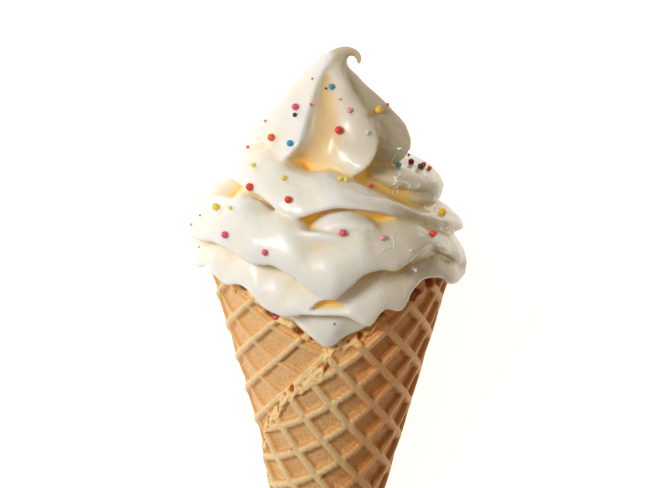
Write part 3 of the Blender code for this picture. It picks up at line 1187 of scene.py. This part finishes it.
    def _places(self, points: np.ndarray) -> tuple[np.ndarray, np.ndarray, np.ndarray]:
        """Reads how far each point is in a flute, on the melting side and in its wet film. The finish paints
        shade in the flutes and on the melting side, and highlights on the film.

        Args:
            points: Points in the upright frame, in metres.

        Returns:
            Those three, each from 0 to 1.
        """
        peak, sizes = self.peak, self.sizes
        azimuth = np.arctan2(points[:, 0], -points[:, 1])
        up = points[:, 2] / MM
        twist = math.radians(peak.twist) * np.clip((peak.twist_top - up) / peak.twist_height, 0, 1)
        # How deep in a flute each point is, for the painted shade there.
        flute_shade_mask = (1 - self._flute(azimuth + twist)) / max(row[1] for row in peak.flutes)
        side = np.degrees(azimuth)
        # The melting right side: glossier, and with painted shade away from the key light.
        melted = plateau(side, sizes.melting_shaded_side)
        film = plateau(side, sizes.film_side) * plateau(up, sizes.film_heights)
        return flute_shade_mask * plateau(up, sizes.flute_shade_heights), melted, film


# --------------------------------------------------------------------------------------------------------
# Sugar balls
# --------------------------------------------------------------------------------------------------------


class Tint(Enum):
    """Colours of the sugar balls, as linear red, green and blue."""

    RED = (0.84, 0.030, 0.012)
    ORANGE = (0.92, 0.14, 0.025)
    AMBER = (0.98, 0.55, 0.008)
    YELLOW = (0.98, 0.74, 0.06)
    PINK = (0.82, 0.10, 0.20)
    BLUSH = (0.92, 0.36, 0.38)
    BLUE = (0.0, 0.36, 0.62)
    MAROON = (0.24, 0.004, 0.006)
    COCOA = (0.07, 0.018, 0.010)
    CREAM = (0.76, 0.74, 0.57)


@dataclass(frozen=True)
class Ball:
    """One sugar ball, placed as the viewer sees it: across and up from the middle of the cone's mouth."""

    across: float
    up: float
    diameter: float
    tint: Tint


BALLS = (
    Ball(0.9, 45.0, 1.5, Tint.BLUE),
    Ball(-8.3, 39.5, 1.9, Tint.PINK),
    Ball(-8.6, 37.5, 1.2, Tint.COCOA),
    Ball(5.5, 38.7, 1.5, Tint.BLUSH),
    Ball(12.8, 39.0, 2.1, Tint.AMBER),
    Ball(15.4, 40.7, 0.9, Tint.RED),
    Ball(-14.6, 31.7, 2.0, Tint.ORANGE),
    Ball(2.7, 33.5, 2.1, Tint.RED),
    Ball(-9.8, 30.0, 1.7, Tint.BLUE),
    Ball(10.1, 32.9, 1.3, Tint.CREAM),
    Ball(-21.2, 29.4, 0.9, Tint.PINK),
    Ball(22.3, 31.1, 0.7, Tint.MAROON),
    Ball(-27.0, 24.3, 1.7, Tint.BLUE),
    Ball(-19.5, 24.3, 1.3, Tint.YELLOW),
    Ball(18.4, 24.9, 1.3, Tint.BLUE),
    Ball(21.9, 25.4, 1.6, Tint.MAROON),
    Ball(25.1, 24.7, 1.5, Tint.RED),
    Ball(24.3, 24.1, 1.7, Tint.COCOA),
    Ball(26.7, 23.8, 1.3, Tint.ORANGE),
    Ball(-11.7, 20.8, 1.3, Tint.YELLOW),
    Ball(2.8, 20.6, 1.3, Tint.YELLOW),
    Ball(4.4, 20.3, 1.3, Tint.YELLOW),
    Ball(-20.0, 18.7, 2.1, Tint.RED),
    Ball(-10.3, 15.2, 1.9, Tint.RED),
    Ball(10.9, 19.0, 1.3, Tint.PINK),
    Ball(-29.1, 13.2, 2.0, Tint.YELLOW),
    Ball(-25.4, 13.1, 1.1, Tint.YELLOW),
    Ball(29.9, 11.8, 2.1, Tint.AMBER),
    Ball(-26.5, 6.3, 1.9, Tint.PINK),
    Ball(3.6, 7.1, 1.9, Tint.PINK),
    Ball(26.9, 6.3, 1.9, Tint.RED),
    Ball(13.8, 5.3, 1.6, Tint.BLUSH),
    Ball(-16.3, 1.8, 1.6, Tint.PINK),
    Ball(-13.8, -15.7, 1.2, Tint.PINK),
    Ball(-4.2, 47.2, 0.6, Tint.ORANGE),
    Ball(-0.7, 44.7, 0.6, Tint.COCOA),
    Ball(3.1, 41.8, 0.7, Tint.BLUSH),
    Ball(-4.7, 40.3, 0.8, Tint.ORANGE),
    Ball(-16.5, 36.3, 0.7, Tint.ORANGE),
    Ball(-36.1, 9.0, 0.8, Tint.CREAM),
    Ball(-33.7, 11.4, 0.5, Tint.COCOA),
    Ball(-34.2, 3.1, 0.4, Tint.COCOA),
    Ball(1.5, -16.8, 0.5, Tint.COCOA),
)


@dataclass(frozen=True)
class BallSizes:
    """What the sugar balls share: how deep they sit, as a share of their width, and how uneven they are."""

    sunk: float = 0.16
    uneven: float = 0.03
    wave_length: float = 1.3
    waves: int = 12
    first_seed: int = 100
    divisions: int = 3
    reach: float = 0.2


class SugarBalls:
    """The sugar balls, each pressed a little into what it lies on, where the viewer sees it."""

    def __init__(self, balls: tuple[Ball, ...], sizes: BallSizes) -> None:
        """Keeps the balls.

        Args:
            balls: The balls.
            sizes: What they share.
        """
        self.balls, self.sizes = balls, sizes
        turn = math.radians(VIEW_ELEVATION)
        self.toward = Vector((0, -math.cos(turn), math.sin(turn)))
        self.upward = Vector((0, math.sin(turn), math.cos(turn)))

    def _seat(self, ball: Ball, tree: BVHTree) -> Vector:
        """Finds where a ball's middle goes.

        Args:
            ball: The ball.
            tree: The ice cream and the wafer, upright.

        Returns:
            Its middle, in metres.
        """
        flat = Vector((ball.across * MM, 0, 0)) + self.upward * (ball.up * MM)
        place, normal, _, _ = tree.ray_cast(flat + self.toward * self.sizes.reach, -self.toward)
        if place is None:
            place, normal, _, _ = tree.find_nearest(flat)
            normal = (flat - place).normalized()
        return place + normal * ((0.5 - self.sizes.sunk) * ball.diameter * MM)

    def build(self, swirl: bpy.types.Object, wafer: bpy.types.Object) -> bpy.types.Object:
        """Makes the balls.

        Args:
            swirl: The ice cream, upright.
            wafer: The wafer, upright.

        Returns:
            All the balls as one piece, with a material for each colour.
        """
        faces, start, points = [], 0, []
        for body in (swirl, wafer):
            points.append(MeshMaker.points(body.data))
            faces += [tuple(start + k for k in face.vertices) for face in body.data.polygons]
            start += len(body.data.vertices)
        tree = BVHTree.FromPolygons([Vector(p) for p in np.vstack(points)], faces)
        sizes, shape = self.sizes, bmesh.new()
        bmesh.ops.create_icosphere(shape, subdivisions=sizes.divisions, radius=1.0)
        unit = np.array([vertex.co[:] for vertex in shape.verts])
        ring = [tuple(vertex.index for vertex in face.verts) for face in shape.faces]
        shape.free()
        points, faces, tints = [], [], []
        order = list(Tint)
        for number, ball in enumerate(self.balls):
            field = Ripple(sizes.first_seed + number, sizes.wave_length, sizes.waves)
            rough = 1 + sizes.uneven * field(unit)
            faces += [tuple(number * len(unit) + k for k in face) for face in ring]
            points.append(unit * rough[:, None] * (ball.diameter / 2 * MM) + np.array(self._seat(ball, tree)))
            tints += [order.index(ball.tint)] * len(ring)
        made = MeshMaker.from_arrays("sugar_balls", np.vstack(points), faces)
        for tint in order:
            made.data.materials.append(CandyFinish(tint).make())
        made.data.polygons.foreach_set("material_index", tints)
        return made


# --------------------------------------------------------------------------------------------------------
# Finishes
# --------------------------------------------------------------------------------------------------------


@dataclass(frozen=True)
class Grain:
    """Fine grain that several finishes share: it varies their roughness and lifts their surface."""

    scale: float
    detail: float
    smoothest: float
    roughest: float
    strength: float
    height: float

    INPUTS: ClassVar[tuple[str, ...]] = ("Scale", "Detail", "Smoothest", "Roughest", "Strength", "Height")
    OUTPUTS: ClassVar[tuple[str, ...]] = ("Coarse", "Roughness", "Normal")
    TREE: ClassVar[str] = "fine_grain"
    COARSE: ClassVar[Span] = (0.3, 0.7)

    def settings(self) -> dict[str, float]:
        """Returns: The value of each of the group's inputs."""
        values = (self.scale, self.detail, self.smoothest, self.roughest, self.strength, self.height)
        return dict(zip(self.INPUTS, values))

    @classmethod
    def shared_tree(cls) -> bpy.types.NodeTree:
        """Returns: The node group, which is built when it is first asked for."""
        known = bpy.data.node_groups.get(cls.TREE)
        if known:
            return known
        tree = bpy.data.node_groups.new(cls.TREE, "ShaderNodeTree")
        tree.interface.new_socket("Place", in_out="INPUT", socket_type="NodeSocketVector")
        for name in cls.INPUTS:
            tree.interface.new_socket(name, in_out="INPUT", socket_type="NodeSocketFloat")
        for name, kind in zip(cls.OUTPUTS, ("NodeSocketFloat", "NodeSocketFloat", "NodeSocketVector")):
            tree.interface.new_socket(name, in_out="OUTPUT", socket_type=kind)
        nodes = Nodes(tree)
        given, put_out = tree.nodes.new("NodeGroupInput"), tree.nodes.new("NodeGroupOutput")
        noise = nodes.add("TexNoise")
        for source, target in (("Place", "Vector"), ("Scale", "Scale"), ("Detail", "Detail")):
            nodes.join(given.outputs[source], noise.inputs[target])
        coarse = nodes.range(noise.outputs["Fac"], cls.COARSE)
        rough = nodes.add("MapRange")
        bump = nodes.add("Bump")
        nodes.join(coarse, rough.inputs["Value"])
        nodes.join(noise.outputs["Fac"], bump.inputs["Height"])
        for source, socket in (
            ("Smoothest", rough.inputs["To Min"]),
            ("Roughest", rough.inputs["To Max"]),
            ("Strength", bump.inputs["Strength"]),
            ("Height", bump.inputs["Distance"]),
        ):
            nodes.join(given.outputs[source], socket)
        for name, socket in zip(cls.OUTPUTS, (coarse, rough.outputs["Result"], bump.outputs["Normal"])):
            nodes.join(socket, put_out.inputs[name])
        return tree


@dataclass(frozen=True)
class Cloud:
    """A noise pattern: how many features there are in a metre, and how many finer layers it has."""

    scale: float
    detail: float = 3.0


class Nodes:
    """Adds and joins the nodes of one node tree."""

    def __init__(self, tree: bpy.types.NodeTree) -> None:
        """Keeps the tree.

        Args:
            tree: The node tree to fill.
        """
        self.tree = tree

    def add(self, kind: str, **settings: object) -> bpy.types.Node:
        """Adds a node.

        Args:
            kind: The node's type name without its ShaderNode prefix.
            **settings: Properties to set on it.

        Returns:
            The node.
        """
        node = self.tree.nodes.new("ShaderNode" + kind)
        for name, value in settings.items():
            setattr(node, name, value)
        return node

    def join(self, source: bpy.types.NodeSocket, target: bpy.types.NodeSocket) -> None:
        """Joins two sockets.

        Args:
            source: The socket that puts a value out.
            target: The socket that takes it in.
        """
        self.tree.links.new(source, target)

    def noise(self, where: bpy.types.NodeSocket, cloud: Cloud) -> bpy.types.NodeSocket:
        """Adds a noise texture.

        Args:
            where: The coordinates to read.
            cloud: The pattern.

        Returns:
            The noise, from 0 to 1.
        """
        node = self.add("TexNoise")
        node.inputs["Scale"].default_value = cloud.scale
        node.inputs["Detail"].default_value = cloud.detail
        self.join(where, node.inputs["Vector"])
        return node.outputs["Fac"]

    def range(
        self, value: bpy.types.NodeSocket, span: Span, becomes: Span = (0.0, 1.0)
    ) -> bpy.types.NodeSocket:
        """Stretches a value from one span to another and keeps it inside.

        Args:
            value: The value to stretch.
            span: The two values that become the ends of the new span.
            becomes: The new span.

        Returns:
            The stretched value.
        """
        node = self.add("MapRange", interpolation_type="SMOOTHSTEP")
        for name, number in zip(("From Min", "From Max", "To Min", "To Max"), (*span, *becomes)):
            node.inputs[name].default_value = number
        self.join(value, node.inputs["Value"])
        return node.outputs["Result"]

    def mix(
        self,
        share: bpy.types.NodeSocket,
        one: bpy.types.NodeSocket | Colour,
        other: bpy.types.NodeSocket | Colour,
        blend: str = "MIX",
    ) -> bpy.types.NodeSocket:
        """Mixes two colours.

        Args:
            share: How much of the other colour there is.
            one: The first colour.
            other: The other colour.
            blend: How they mix.

        Returns:
            The mixed colour.
        """
        node = self.add("Mix", data_type="RGBA", blend_type=blend)
        self.join(share, node.inputs["Factor"])
        for name, colour in (("A", one), ("B", other)):
            socket = next(s for s in node.inputs if s.name == name and s.type == "RGBA")
            if isinstance(colour, tuple):
                socket.default_value = (*colour, 1.0)
            else:
                self.join(colour, socket)
        return next(s for s in node.outputs if s.type == "RGBA")

    def mask(self, name: str) -> bpy.types.NodeSocket:
        """Reads a mask that a mesh carries.

        Args:
            name: The mask's name.

        Returns:
            Its value.
        """
        return self.add("Attribute", attribute_name=name).outputs["Fac"]

    def math(
        self, operation: str, one: bpy.types.NodeSocket, other: bpy.types.NodeSocket | float = 0.0
    ) -> bpy.types.NodeSocket:
        """Works on one or two values.

        Args:
            operation: What is done.
            one: The first value.
            other: The second value.

        Returns:
            The result.
        """
        node = self.add("Math", operation=operation)
        self.join(one, node.inputs[0])
        if isinstance(other, float):
            node.inputs[1].default_value = other
        else:
            self.join(other, node.inputs[1])
        return node.outputs[0]

    def grain(self, where: bpy.types.NodeSocket, grain: Grain) -> tuple[bpy.types.NodeSocket, ...]:
        """Adds the shared fine grain.

        Args:
            where: The coordinates to read.
            grain: Its settings.

        Returns:
            How coarse it is at each point from 0 to 1, the roughness and the normal.
        """
        node = self.add("Group", node_tree=Grain.shared_tree())
        self.join(where, node.inputs["Place"])
        for name, value in grain.settings().items():
            node.inputs[name].default_value = value
        return tuple(node.outputs[name] for name in Grain.OUTPUTS)

    def bump(
        self,
        height: bpy.types.NodeSocket,
        strength: float,
        distance: float,
        under: bpy.types.NodeSocket | None = None,
    ) -> bpy.types.NodeSocket:
        """Adds fine relief that isn't in the mesh.

        Args:
            height: The relief, from 0 to 1.
            strength: How much of it shows.
            distance: Its height in metres.
            under: The normal of the relief that it lies on.

        Returns:
            The normal.
        """
        node = self.add("Bump")
        if under is not None:
            self.join(under, node.inputs["Normal"])
        node.inputs["Strength"].default_value = strength
        node.inputs["Distance"].default_value = distance
        self.join(height, node.inputs["Height"])
        return node.outputs["Normal"]


def new_material(name: str) -> tuple[bpy.types.Material, Nodes, bpy.types.Node]:
    """Makes a material.

    Args:
        name: The material's name.

    Returns:
        The material, its nodes and its Principled shader.
    """
    made = bpy.data.materials.new(name)
    made.use_nodes = True
    return made, Nodes(made.node_tree), made.node_tree.nodes["Principled BSDF"]


@dataclass(frozen=True)
class CreamFinish:
    """Moist ice cream: creamy on its faces, with painted light: a painted highlight whitens its crests,
    painted shade turns its hollows golden, deepest in a crevice, and shades its flutes and melting right
    side, a painted glow lights its deepest crevices and painted highlights draw white lines on its wet film.
    """

    name: str = "cream"
    # Painted light from how hollow the surface is: crest is a painted highlight on outward crests, face the
    # plain cream, and valley, fold and deep are painted shade, golden in hollows and deepest in crevices.
    crest: Colour = (0.91, 0.90, 0.86)
    face: Colour = (0.89, 0.845, 0.73)
    valley_shade: Colour = (0.86, 0.72, 0.47)
    fold: Colour = (0.87, 0.68, 0.32)
    deep: Colour = (0.84, 0.49, 0.08)
    # Painted shade in the peak's flutes.
    flute: Colour = (0.84, 0.62, 0.32)
    # Painted shade: multiplied in on the melting right side, away from the key light.
    melted: Colour = (0.72, 0.655, 0.52)
    # Painted highlight: thin white lines along the wet film's wrinkles.
    film: Colour = (0.96, 0.96, 0.94)
    # Painted glow: how strongly the deepest hollows give off golden light.
    glow: float = 0.22
    grain: Grain = Grain(350.0, 5.0, 0.30, 0.46, 0.15, 0.0002)
    # Where the painted highlight and the painted shades start and end along the hollow masks.
    crest_highlight_span: Span = (-1.3, 0.0)
    valley_shade_span: Span = (-1.8, 1.8)
    valley_shade_share: float = 0.95
    fold_shade_span: Span = (0.15, 0.95)
    deep_shade_span: Span = (0.85, 1.7)
    painted_glow_span: Span = (0.4, 1.5)
    flute_shade_span: Span = (0.62, 1.0)
    flute_shade_share: float = 0.9
    wrinkles: Cloud = Cloud(150.0, 1.5)
    wrinkle_line: Span = (0.026, 0.004)
    wrinkle_height: float = 0.0003
    breaks: Cloud = Cloud(90.0, 1.0)
    break_span: Span = (0.40, 0.52)
    film_highlight_span: Span = (0.1, 1.0)
    film_highlight_share: float = 0.75
    scatter: float = 0.8
    scatter_size: float = 0.0022
    scatter_reach: Colour = (1.0, 0.72, 0.42)
    coat: Span = (0.12, 0.5)
    coat_roughness: float = 0.12
    refraction: float = 1.40

    def make(self) -> bpy.types.Material:
        """Returns: The material."""
        made, nodes, shader = new_material(self.name)
        where = nodes.add("TexCoord").outputs["Object"]
        # Painted highlight on crests, then painted shade in valleys, folds and the deepest crevices.
        hollow = nodes.mask("hollow")
        colour = nodes.mix(nodes.range(hollow, self.crest_highlight_span), self.crest, self.face)
        valley_shade = nodes.range(nodes.mask("valley_shade"), self.valley_shade_span, (0.0, self.valley_shade_share))
        colour = nodes.mix(valley_shade, colour, self.valley_shade)
        colour = nodes.mix(nodes.range(hollow, self.fold_shade_span), colour, self.fold)
        colour = nodes.mix(nodes.range(hollow, self.deep_shade_span), colour, self.deep)
        # Painted shade in the peak's flutes.
        flute_shade_mask = nodes.range(nodes.mask("flute_shade_mask"), self.flute_shade_span, (0.0, self.flute_shade_share))
        colour = nodes.mix(flute_shade_mask, colour, self.flute)
        # Painted shade on the melting right side, away from the key light; the same mask also makes that side
        # glossier.
        colour = nodes.mix(nodes.mask("melted"), colour, self.melted, "MULTIPLY")
        wrinkles = self._wrinkles(nodes, where)
        # Painted highlight: the film's wrinkles are drawn as thin white lines.
        film = nodes.range(wrinkles, self.film_highlight_span, (0.0, self.film_highlight_share))
        nodes.join(nodes.mix(film, colour, self.film), shader.inputs["Base Color"])
        # Painted glow: the deepest hollows give off golden light, as if lit through the cream.
        through = nodes.mix(nodes.range(hollow, self.painted_glow_span), (0.0, 0.0, 0.0), self.deep)
        nodes.join(through, shader.inputs["Emission Color"])
        shader.inputs["Emission Strength"].default_value = self.glow
        _, rough, melted = nodes.grain(where, self.grain)
        nodes.join(rough, shader.inputs["Roughness"])
        nodes.join(nodes.bump(wrinkles, 1.0, self.wrinkle_height, melted), shader.inputs["Normal"])
        shader.inputs["Subsurface Weight"].default_value = self.scatter
        shader.inputs["Subsurface Scale"].default_value = self.scatter_size
        shader.inputs["Subsurface Radius"].default_value = self.scatter_reach
        coat = nodes.range(nodes.mask("melted"), (0.0, 1.0), self.coat)
        nodes.join(coat, shader.inputs["Coat Weight"])
        shader.inputs["Coat Roughness"].default_value = self.coat_roughness
        shader.inputs["IOR"].default_value = self.refraction
        return made

    def _wrinkles(self, nodes: Nodes, where: bpy.types.NodeSocket) -> bpy.types.NodeSocket:
        """Draws thin winding lines where the film is.

        Args:
            nodes: The material's nodes.
            where: The coordinates to read.

        Returns:
            The lines' height, from 0 to 1.
        """
        field = nodes.noise(where, self.wrinkles)
        away = nodes.math("ABSOLUTE", nodes.math("SUBTRACT", field, 0.5))
        line = nodes.math("MULTIPLY", nodes.range(away, self.wrinkle_line), nodes.mask("film"))
        kept = nodes.range(nodes.noise(where, self.breaks), self.break_span)
        return nodes.math("MULTIPLY", line, kept)


@dataclass(frozen=True)
class WaferFinish:
    """Baked wafer: pale ridges, browner cells, darker at the foot of a wall, and a pale crumbly border, with
    painted shade on its right side, away from the key light.
    """

    name: str = "wafer"
    ridge: Colour = (0.92, 0.67, 0.35)
    wall: Colour = (0.72, 0.33, 0.07)
    floor: Colour = (0.88, 0.54, 0.24)
    border: Colour = (0.93, 0.68, 0.33)
    baked: Colour = (0.80, 0.38, 0.08)
    burst: Colour = (0.44, 0.11, 0.012)
    # Painted shade, multiplied in on the right side, away from the key light.
    painted_side_shade: Colour = (0.80, 0.56, 0.34)
    dusted: Colour = (0.84, 0.78, 0.72)
    speck: Colour = (0.56, 0.26, 0.08)
    grain: Grain = Grain(1500.0, 4.0, 0.50, 0.68, 0.7, 0.0004)
    patches: Cloud = Cloud(60.0, 4.0)
    patch_span: Span = (0.3, 0.7)
    patch_gain: float = 1.12
    wall_span: Span = (0.0, 0.35)
    wall_share: float = 0.8
    ridge_span: Span = (0.35, 0.95)
    crumb_span: Span = (-3.0, -0.6)
    border_span: Span = (0.1, 0.9)
    baked_span: Span = (0.05, 0.35)
    burst_span: Span = (0.3, 0.9)
    specks: Cloud = Cloud(1600.0, 2.0)
    speck_span: Span = (0.52, 0.72)
    speck_share: float = 0.35
    # Noise that makes the edge of the painted side shade uneven.
    side_shade_unevenness: Cloud = Cloud(25.0, 3.0)
    side_shade_uneven_span: Span = (0.2, 0.8)
    side_shade_uneven_shift: Span = (-0.25, 0.25)
    scatter: float = 0.25
    scatter_size: float = 0.001

    def make(self) -> bpy.types.Material:
        """Returns: The material."""
        made, nodes, shader = new_material(self.name)
        where = nodes.add("TexCoord").outputs["Object"]
        patch = nodes.range(nodes.noise(where, self.patches), self.patch_span)
        coarse, rough, bumpy = nodes.grain(where, self.grain)
        floor = nodes.mix(patch, self.floor, tuple(self.patch_gain * c for c in self.floor))
        floor = nodes.mix(coarse, floor, self.dusted, "MULTIPLY")
        ridge = nodes.mask("ridge")
        colour = nodes.mix(nodes.range(ridge, self.wall_span, (0.0, self.wall_share)), floor, self.wall)
        colour = nodes.mix(nodes.range(ridge, self.ridge_span), colour, self.ridge)
        border = nodes.mix(nodes.range(nodes.mask("crumb"), self.crumb_span), self.baked, self.border)
        colour = nodes.mix(nodes.range(nodes.mask("border"), self.border_span), colour, border)
        pit = nodes.mask("pit")
        colour = nodes.mix(nodes.range(pit, self.baked_span), colour, self.baked)
        colour = nodes.mix(nodes.range(pit, self.burst_span), colour, self.burst)
        speck = nodes.range(nodes.noise(where, self.specks), self.speck_span, (0.0, self.speck_share))
        colour = nodes.mix(speck, colour, self.speck)
        # Painted shade: the right side, away from the key light, is darkened, with an uneven edge.
        uneven = nodes.range(nodes.noise(where, self.side_shade_unevenness), self.side_shade_uneven_span, self.side_shade_uneven_shift)
        painted_side_shade = nodes.range(nodes.math("ADD", nodes.mask("painted_side_shade"), uneven), (0.0, 1.0))
        nodes.join(nodes.mix(painted_side_shade, colour, self.painted_side_shade, "MULTIPLY"), shader.inputs["Base Color"])
        nodes.join(rough, shader.inputs["Roughness"])
        nodes.join(bumpy, shader.inputs["Normal"])
        shader.inputs["Subsurface Weight"].default_value = self.scatter
        shader.inputs["Subsurface Scale"].default_value = self.scatter_size
        return made


@dataclass(frozen=True)
class CandyFinish:
    """A sugar ball's shell, a little mottled."""

    tint: Tint
    grain: Grain = Grain(1500.0, 3.0, 0.34, 0.49, 0.2, 0.00005)
    pale_gain: float = 0.85
    pale_lift: float = 0.05
    scatter: float = 0.15
    scatter_size: float = 0.0004

    def make(self) -> bpy.types.Material:
        """Returns: The material."""
        made, nodes, shader = new_material("sugar_" + self.tint.name.lower())
        where = nodes.add("TexCoord").outputs["Object"]
        mottle, rough, uneven = nodes.grain(where, self.grain)
        pale = tuple(self.pale_gain * c + self.pale_lift for c in self.tint.value)
        nodes.join(nodes.mix(mottle, self.tint.value, pale), shader.inputs["Base Color"])
        nodes.join(rough, shader.inputs["Roughness"])
        nodes.join(uneven, shader.inputs["Normal"])
        shader.inputs["Subsurface Weight"].default_value = self.scatter
        shader.inputs["Subsurface Scale"].default_value = self.scatter_size
        return made


@dataclass(frozen=True)
class FloorFinish:
    """A plain pale floor."""

    name: str = "pale_floor"
    colour: Colour = (0.93, 0.93, 0.93)
    glow: float = 0.90
    far_glow: float = 0.25
    pool: Span = (0.13, 0.26)
    glow_colour: Colour = (1.0, 0.96, 0.92)
    patches: Cloud = Cloud(3.0)
    patch_gain: float = 0.99
    roughness: float = 0.9

    def make(self) -> bpy.types.Material:
        """Returns: The material. It glows in a pool round the subject and less beyond it."""
        made, nodes, shader = new_material(self.name)
        where = nodes.add("TexCoord").outputs["Object"]
        patch = nodes.noise(where, self.patches)
        colour = nodes.mix(patch, self.colour, tuple(self.patch_gain * c for c in self.colour))
        far = nodes.add("VectorMath", operation="LENGTH")
        nodes.join(where, far.inputs[0])
        glow = nodes.range(far.outputs["Value"], self.pool, (self.glow, self.far_glow))
        nodes.join(colour, shader.inputs["Base Color"])
        nodes.join(glow, shader.inputs["Emission Strength"])
        shader.inputs["Emission Color"].default_value = (*self.glow_colour, 1.0)
        shader.inputs["Roughness"].default_value = self.roughness
        return made


# --------------------------------------------------------------------------------------------------------
# Studio
# --------------------------------------------------------------------------------------------------------


@dataclass(frozen=True)
class Lamp:
    """A soft round light, hung this far to the right of, above and nearer than the subject, in metres."""

    name: str
    seen_from: tuple[float, float, float]
    width: float
    watts: float
    colour: Colour


LAMPS = (
    Lamp("key", (-0.47, 0.17, 0.69), 0.26, 5.1, (0.99, 0.995, 1.0)),
    Lamp("fill", (-0.15, 0.0, 1.0), 0.6, 0.7, (1.0, 0.93, 0.82)),
    Lamp("glint", (0.70, 0.20, 0.35), 0.05, 0.5, (1.0, 1.0, 1.0)),
)


@dataclass(frozen=True)
class Studio:
    """The camera, the lights and the floor."""

    lens: float = 180.0
    frame_width: float = 174.6
    sensor: float = 36.0
    clip: Span = (0.01, 20.0)
    aim: Span = (-0.94, 4.2)
    floor_side: float = 3.0
    room_glow: float = 0.14
    room_colour: Colour = (1.0, 0.76, 0.46)

    def _view(self, pose: Pose) -> tuple[Vector, Matrix]:
        """Finds where the camera looks and how it is turned.

        Args:
            pose: How the cone lies.

        Returns:
            The point that it looks at and its turn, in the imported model's frame.
        """
        move = pose.matrix()
        target = move @ Vector((self.aim[0] * MM, 0, self.aim[1] * MM))
        turn = move.to_3x3() @ Matrix.Rotation(math.radians(90 - VIEW_ELEVATION), 3, "X")
        return target, turn.to_4x4()

    def place_camera(self, pose: Pose) -> None:
        """Puts the camera where it sees the face as when the cone stands.

        Args:
            pose: How the cone lies.
        """
        target, turn = self._view(pose)
        lens = bpy.data.cameras.new("camera")
        lens.lens = self.lens
        lens.sensor_width = self.sensor
        lens.clip_start, lens.clip_end = self.clip
        distance = self.frame_width * MM * self.lens / lens.sensor_width
        camera = bpy.data.objects.new("camera", lens)
        camera.matrix_world = Matrix.Translation(target) @ turn @ Matrix.Translation((0, 0, distance))
        bpy.context.scene.collection.objects.link(camera)
        bpy.context.scene.camera = camera

    def place_light(self, pose: Pose, lamp: Lamp) -> None:
        """Hangs a soft light.

        Args:
            pose: How the cone lies.
            lamp: The light.
        """
        target, turn = self._view(pose)
        data = bpy.data.lights.new(lamp.name, "AREA")
        data.shape = "DISK"
        data.size = lamp.width
        data.energy = lamp.watts
        data.color = lamp.colour
        light = bpy.data.objects.new(lamp.name, data)
        light.location = target + turn.to_3x3() @ Vector(lamp.seen_from)
        light.rotation_euler = (light.location - target).to_track_quat("Z", "Y").to_euler()
        bpy.context.scene.collection.objects.link(light)

    def place_floor(self) -> bpy.types.Object:
        """Returns: The floor, at Z = 0."""
        half = self.floor_side / 2
        corners = np.array([(-half, -half, 0), (half, -half, 0), (half, half, 0), (-half, half, 0)])
        made = MeshMaker.from_arrays("floor", corners, [(0, 1, 2, 3)])
        made.data.materials.append(FloorFinish().make())
        made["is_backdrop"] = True
        return made

    def light_room(self) -> None:
        """Fills the room with even warm light."""
        world = bpy.data.worlds.new("room")
        world.use_nodes = True
        world.node_tree.nodes["Background"].inputs["Color"].default_value = (*self.room_colour, 1.0)
        world.node_tree.nodes["Background"].inputs["Strength"].default_value = self.room_glow
        bpy.context.scene.world = world


def main() -> None:
    """Builds every piece, dresses it and sets the studio."""
    logging.basicConfig(level=logging.INFO, format="%(name)s: %(message)s")
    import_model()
    bpy.context.scene.view_settings.view_transform = "Standard"
    pose, studio = Pose(), Studio()

    wafer = WaffleCone(ConeSizes(), LatticeSizes(), UNDER_LATTICE, BorderSizes(), Grid()).build()
    swirl = Swirl(ConeSizes(), PeakSizes(), FOLDS, SwirlSizes()).build()
    balls = SugarBalls(BALLS, BallSizes()).build(swirl, wafer)
    wafer.data.materials.append(WaferFinish().make())
    swirl.data.materials.append(CreamFinish().make())
    for piece, slot in ((wafer, "waffle"), (swirl, "soft_serve"), (balls, "soft_serve")):
        pose.lay(piece.data)
        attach(piece, "root")
    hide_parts("waffle_cone")
    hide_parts("soft_serve")

    studio.place_floor()
    studio.light_room()
    for lamp in LAMPS:
        studio.place_light(pose, lamp)
    studio.place_camera(pose)

    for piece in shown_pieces():
        LOG.info("%s: %d faces", piece.name, len(piece.data.polygons))


if __name__ == "__main__":
    main()
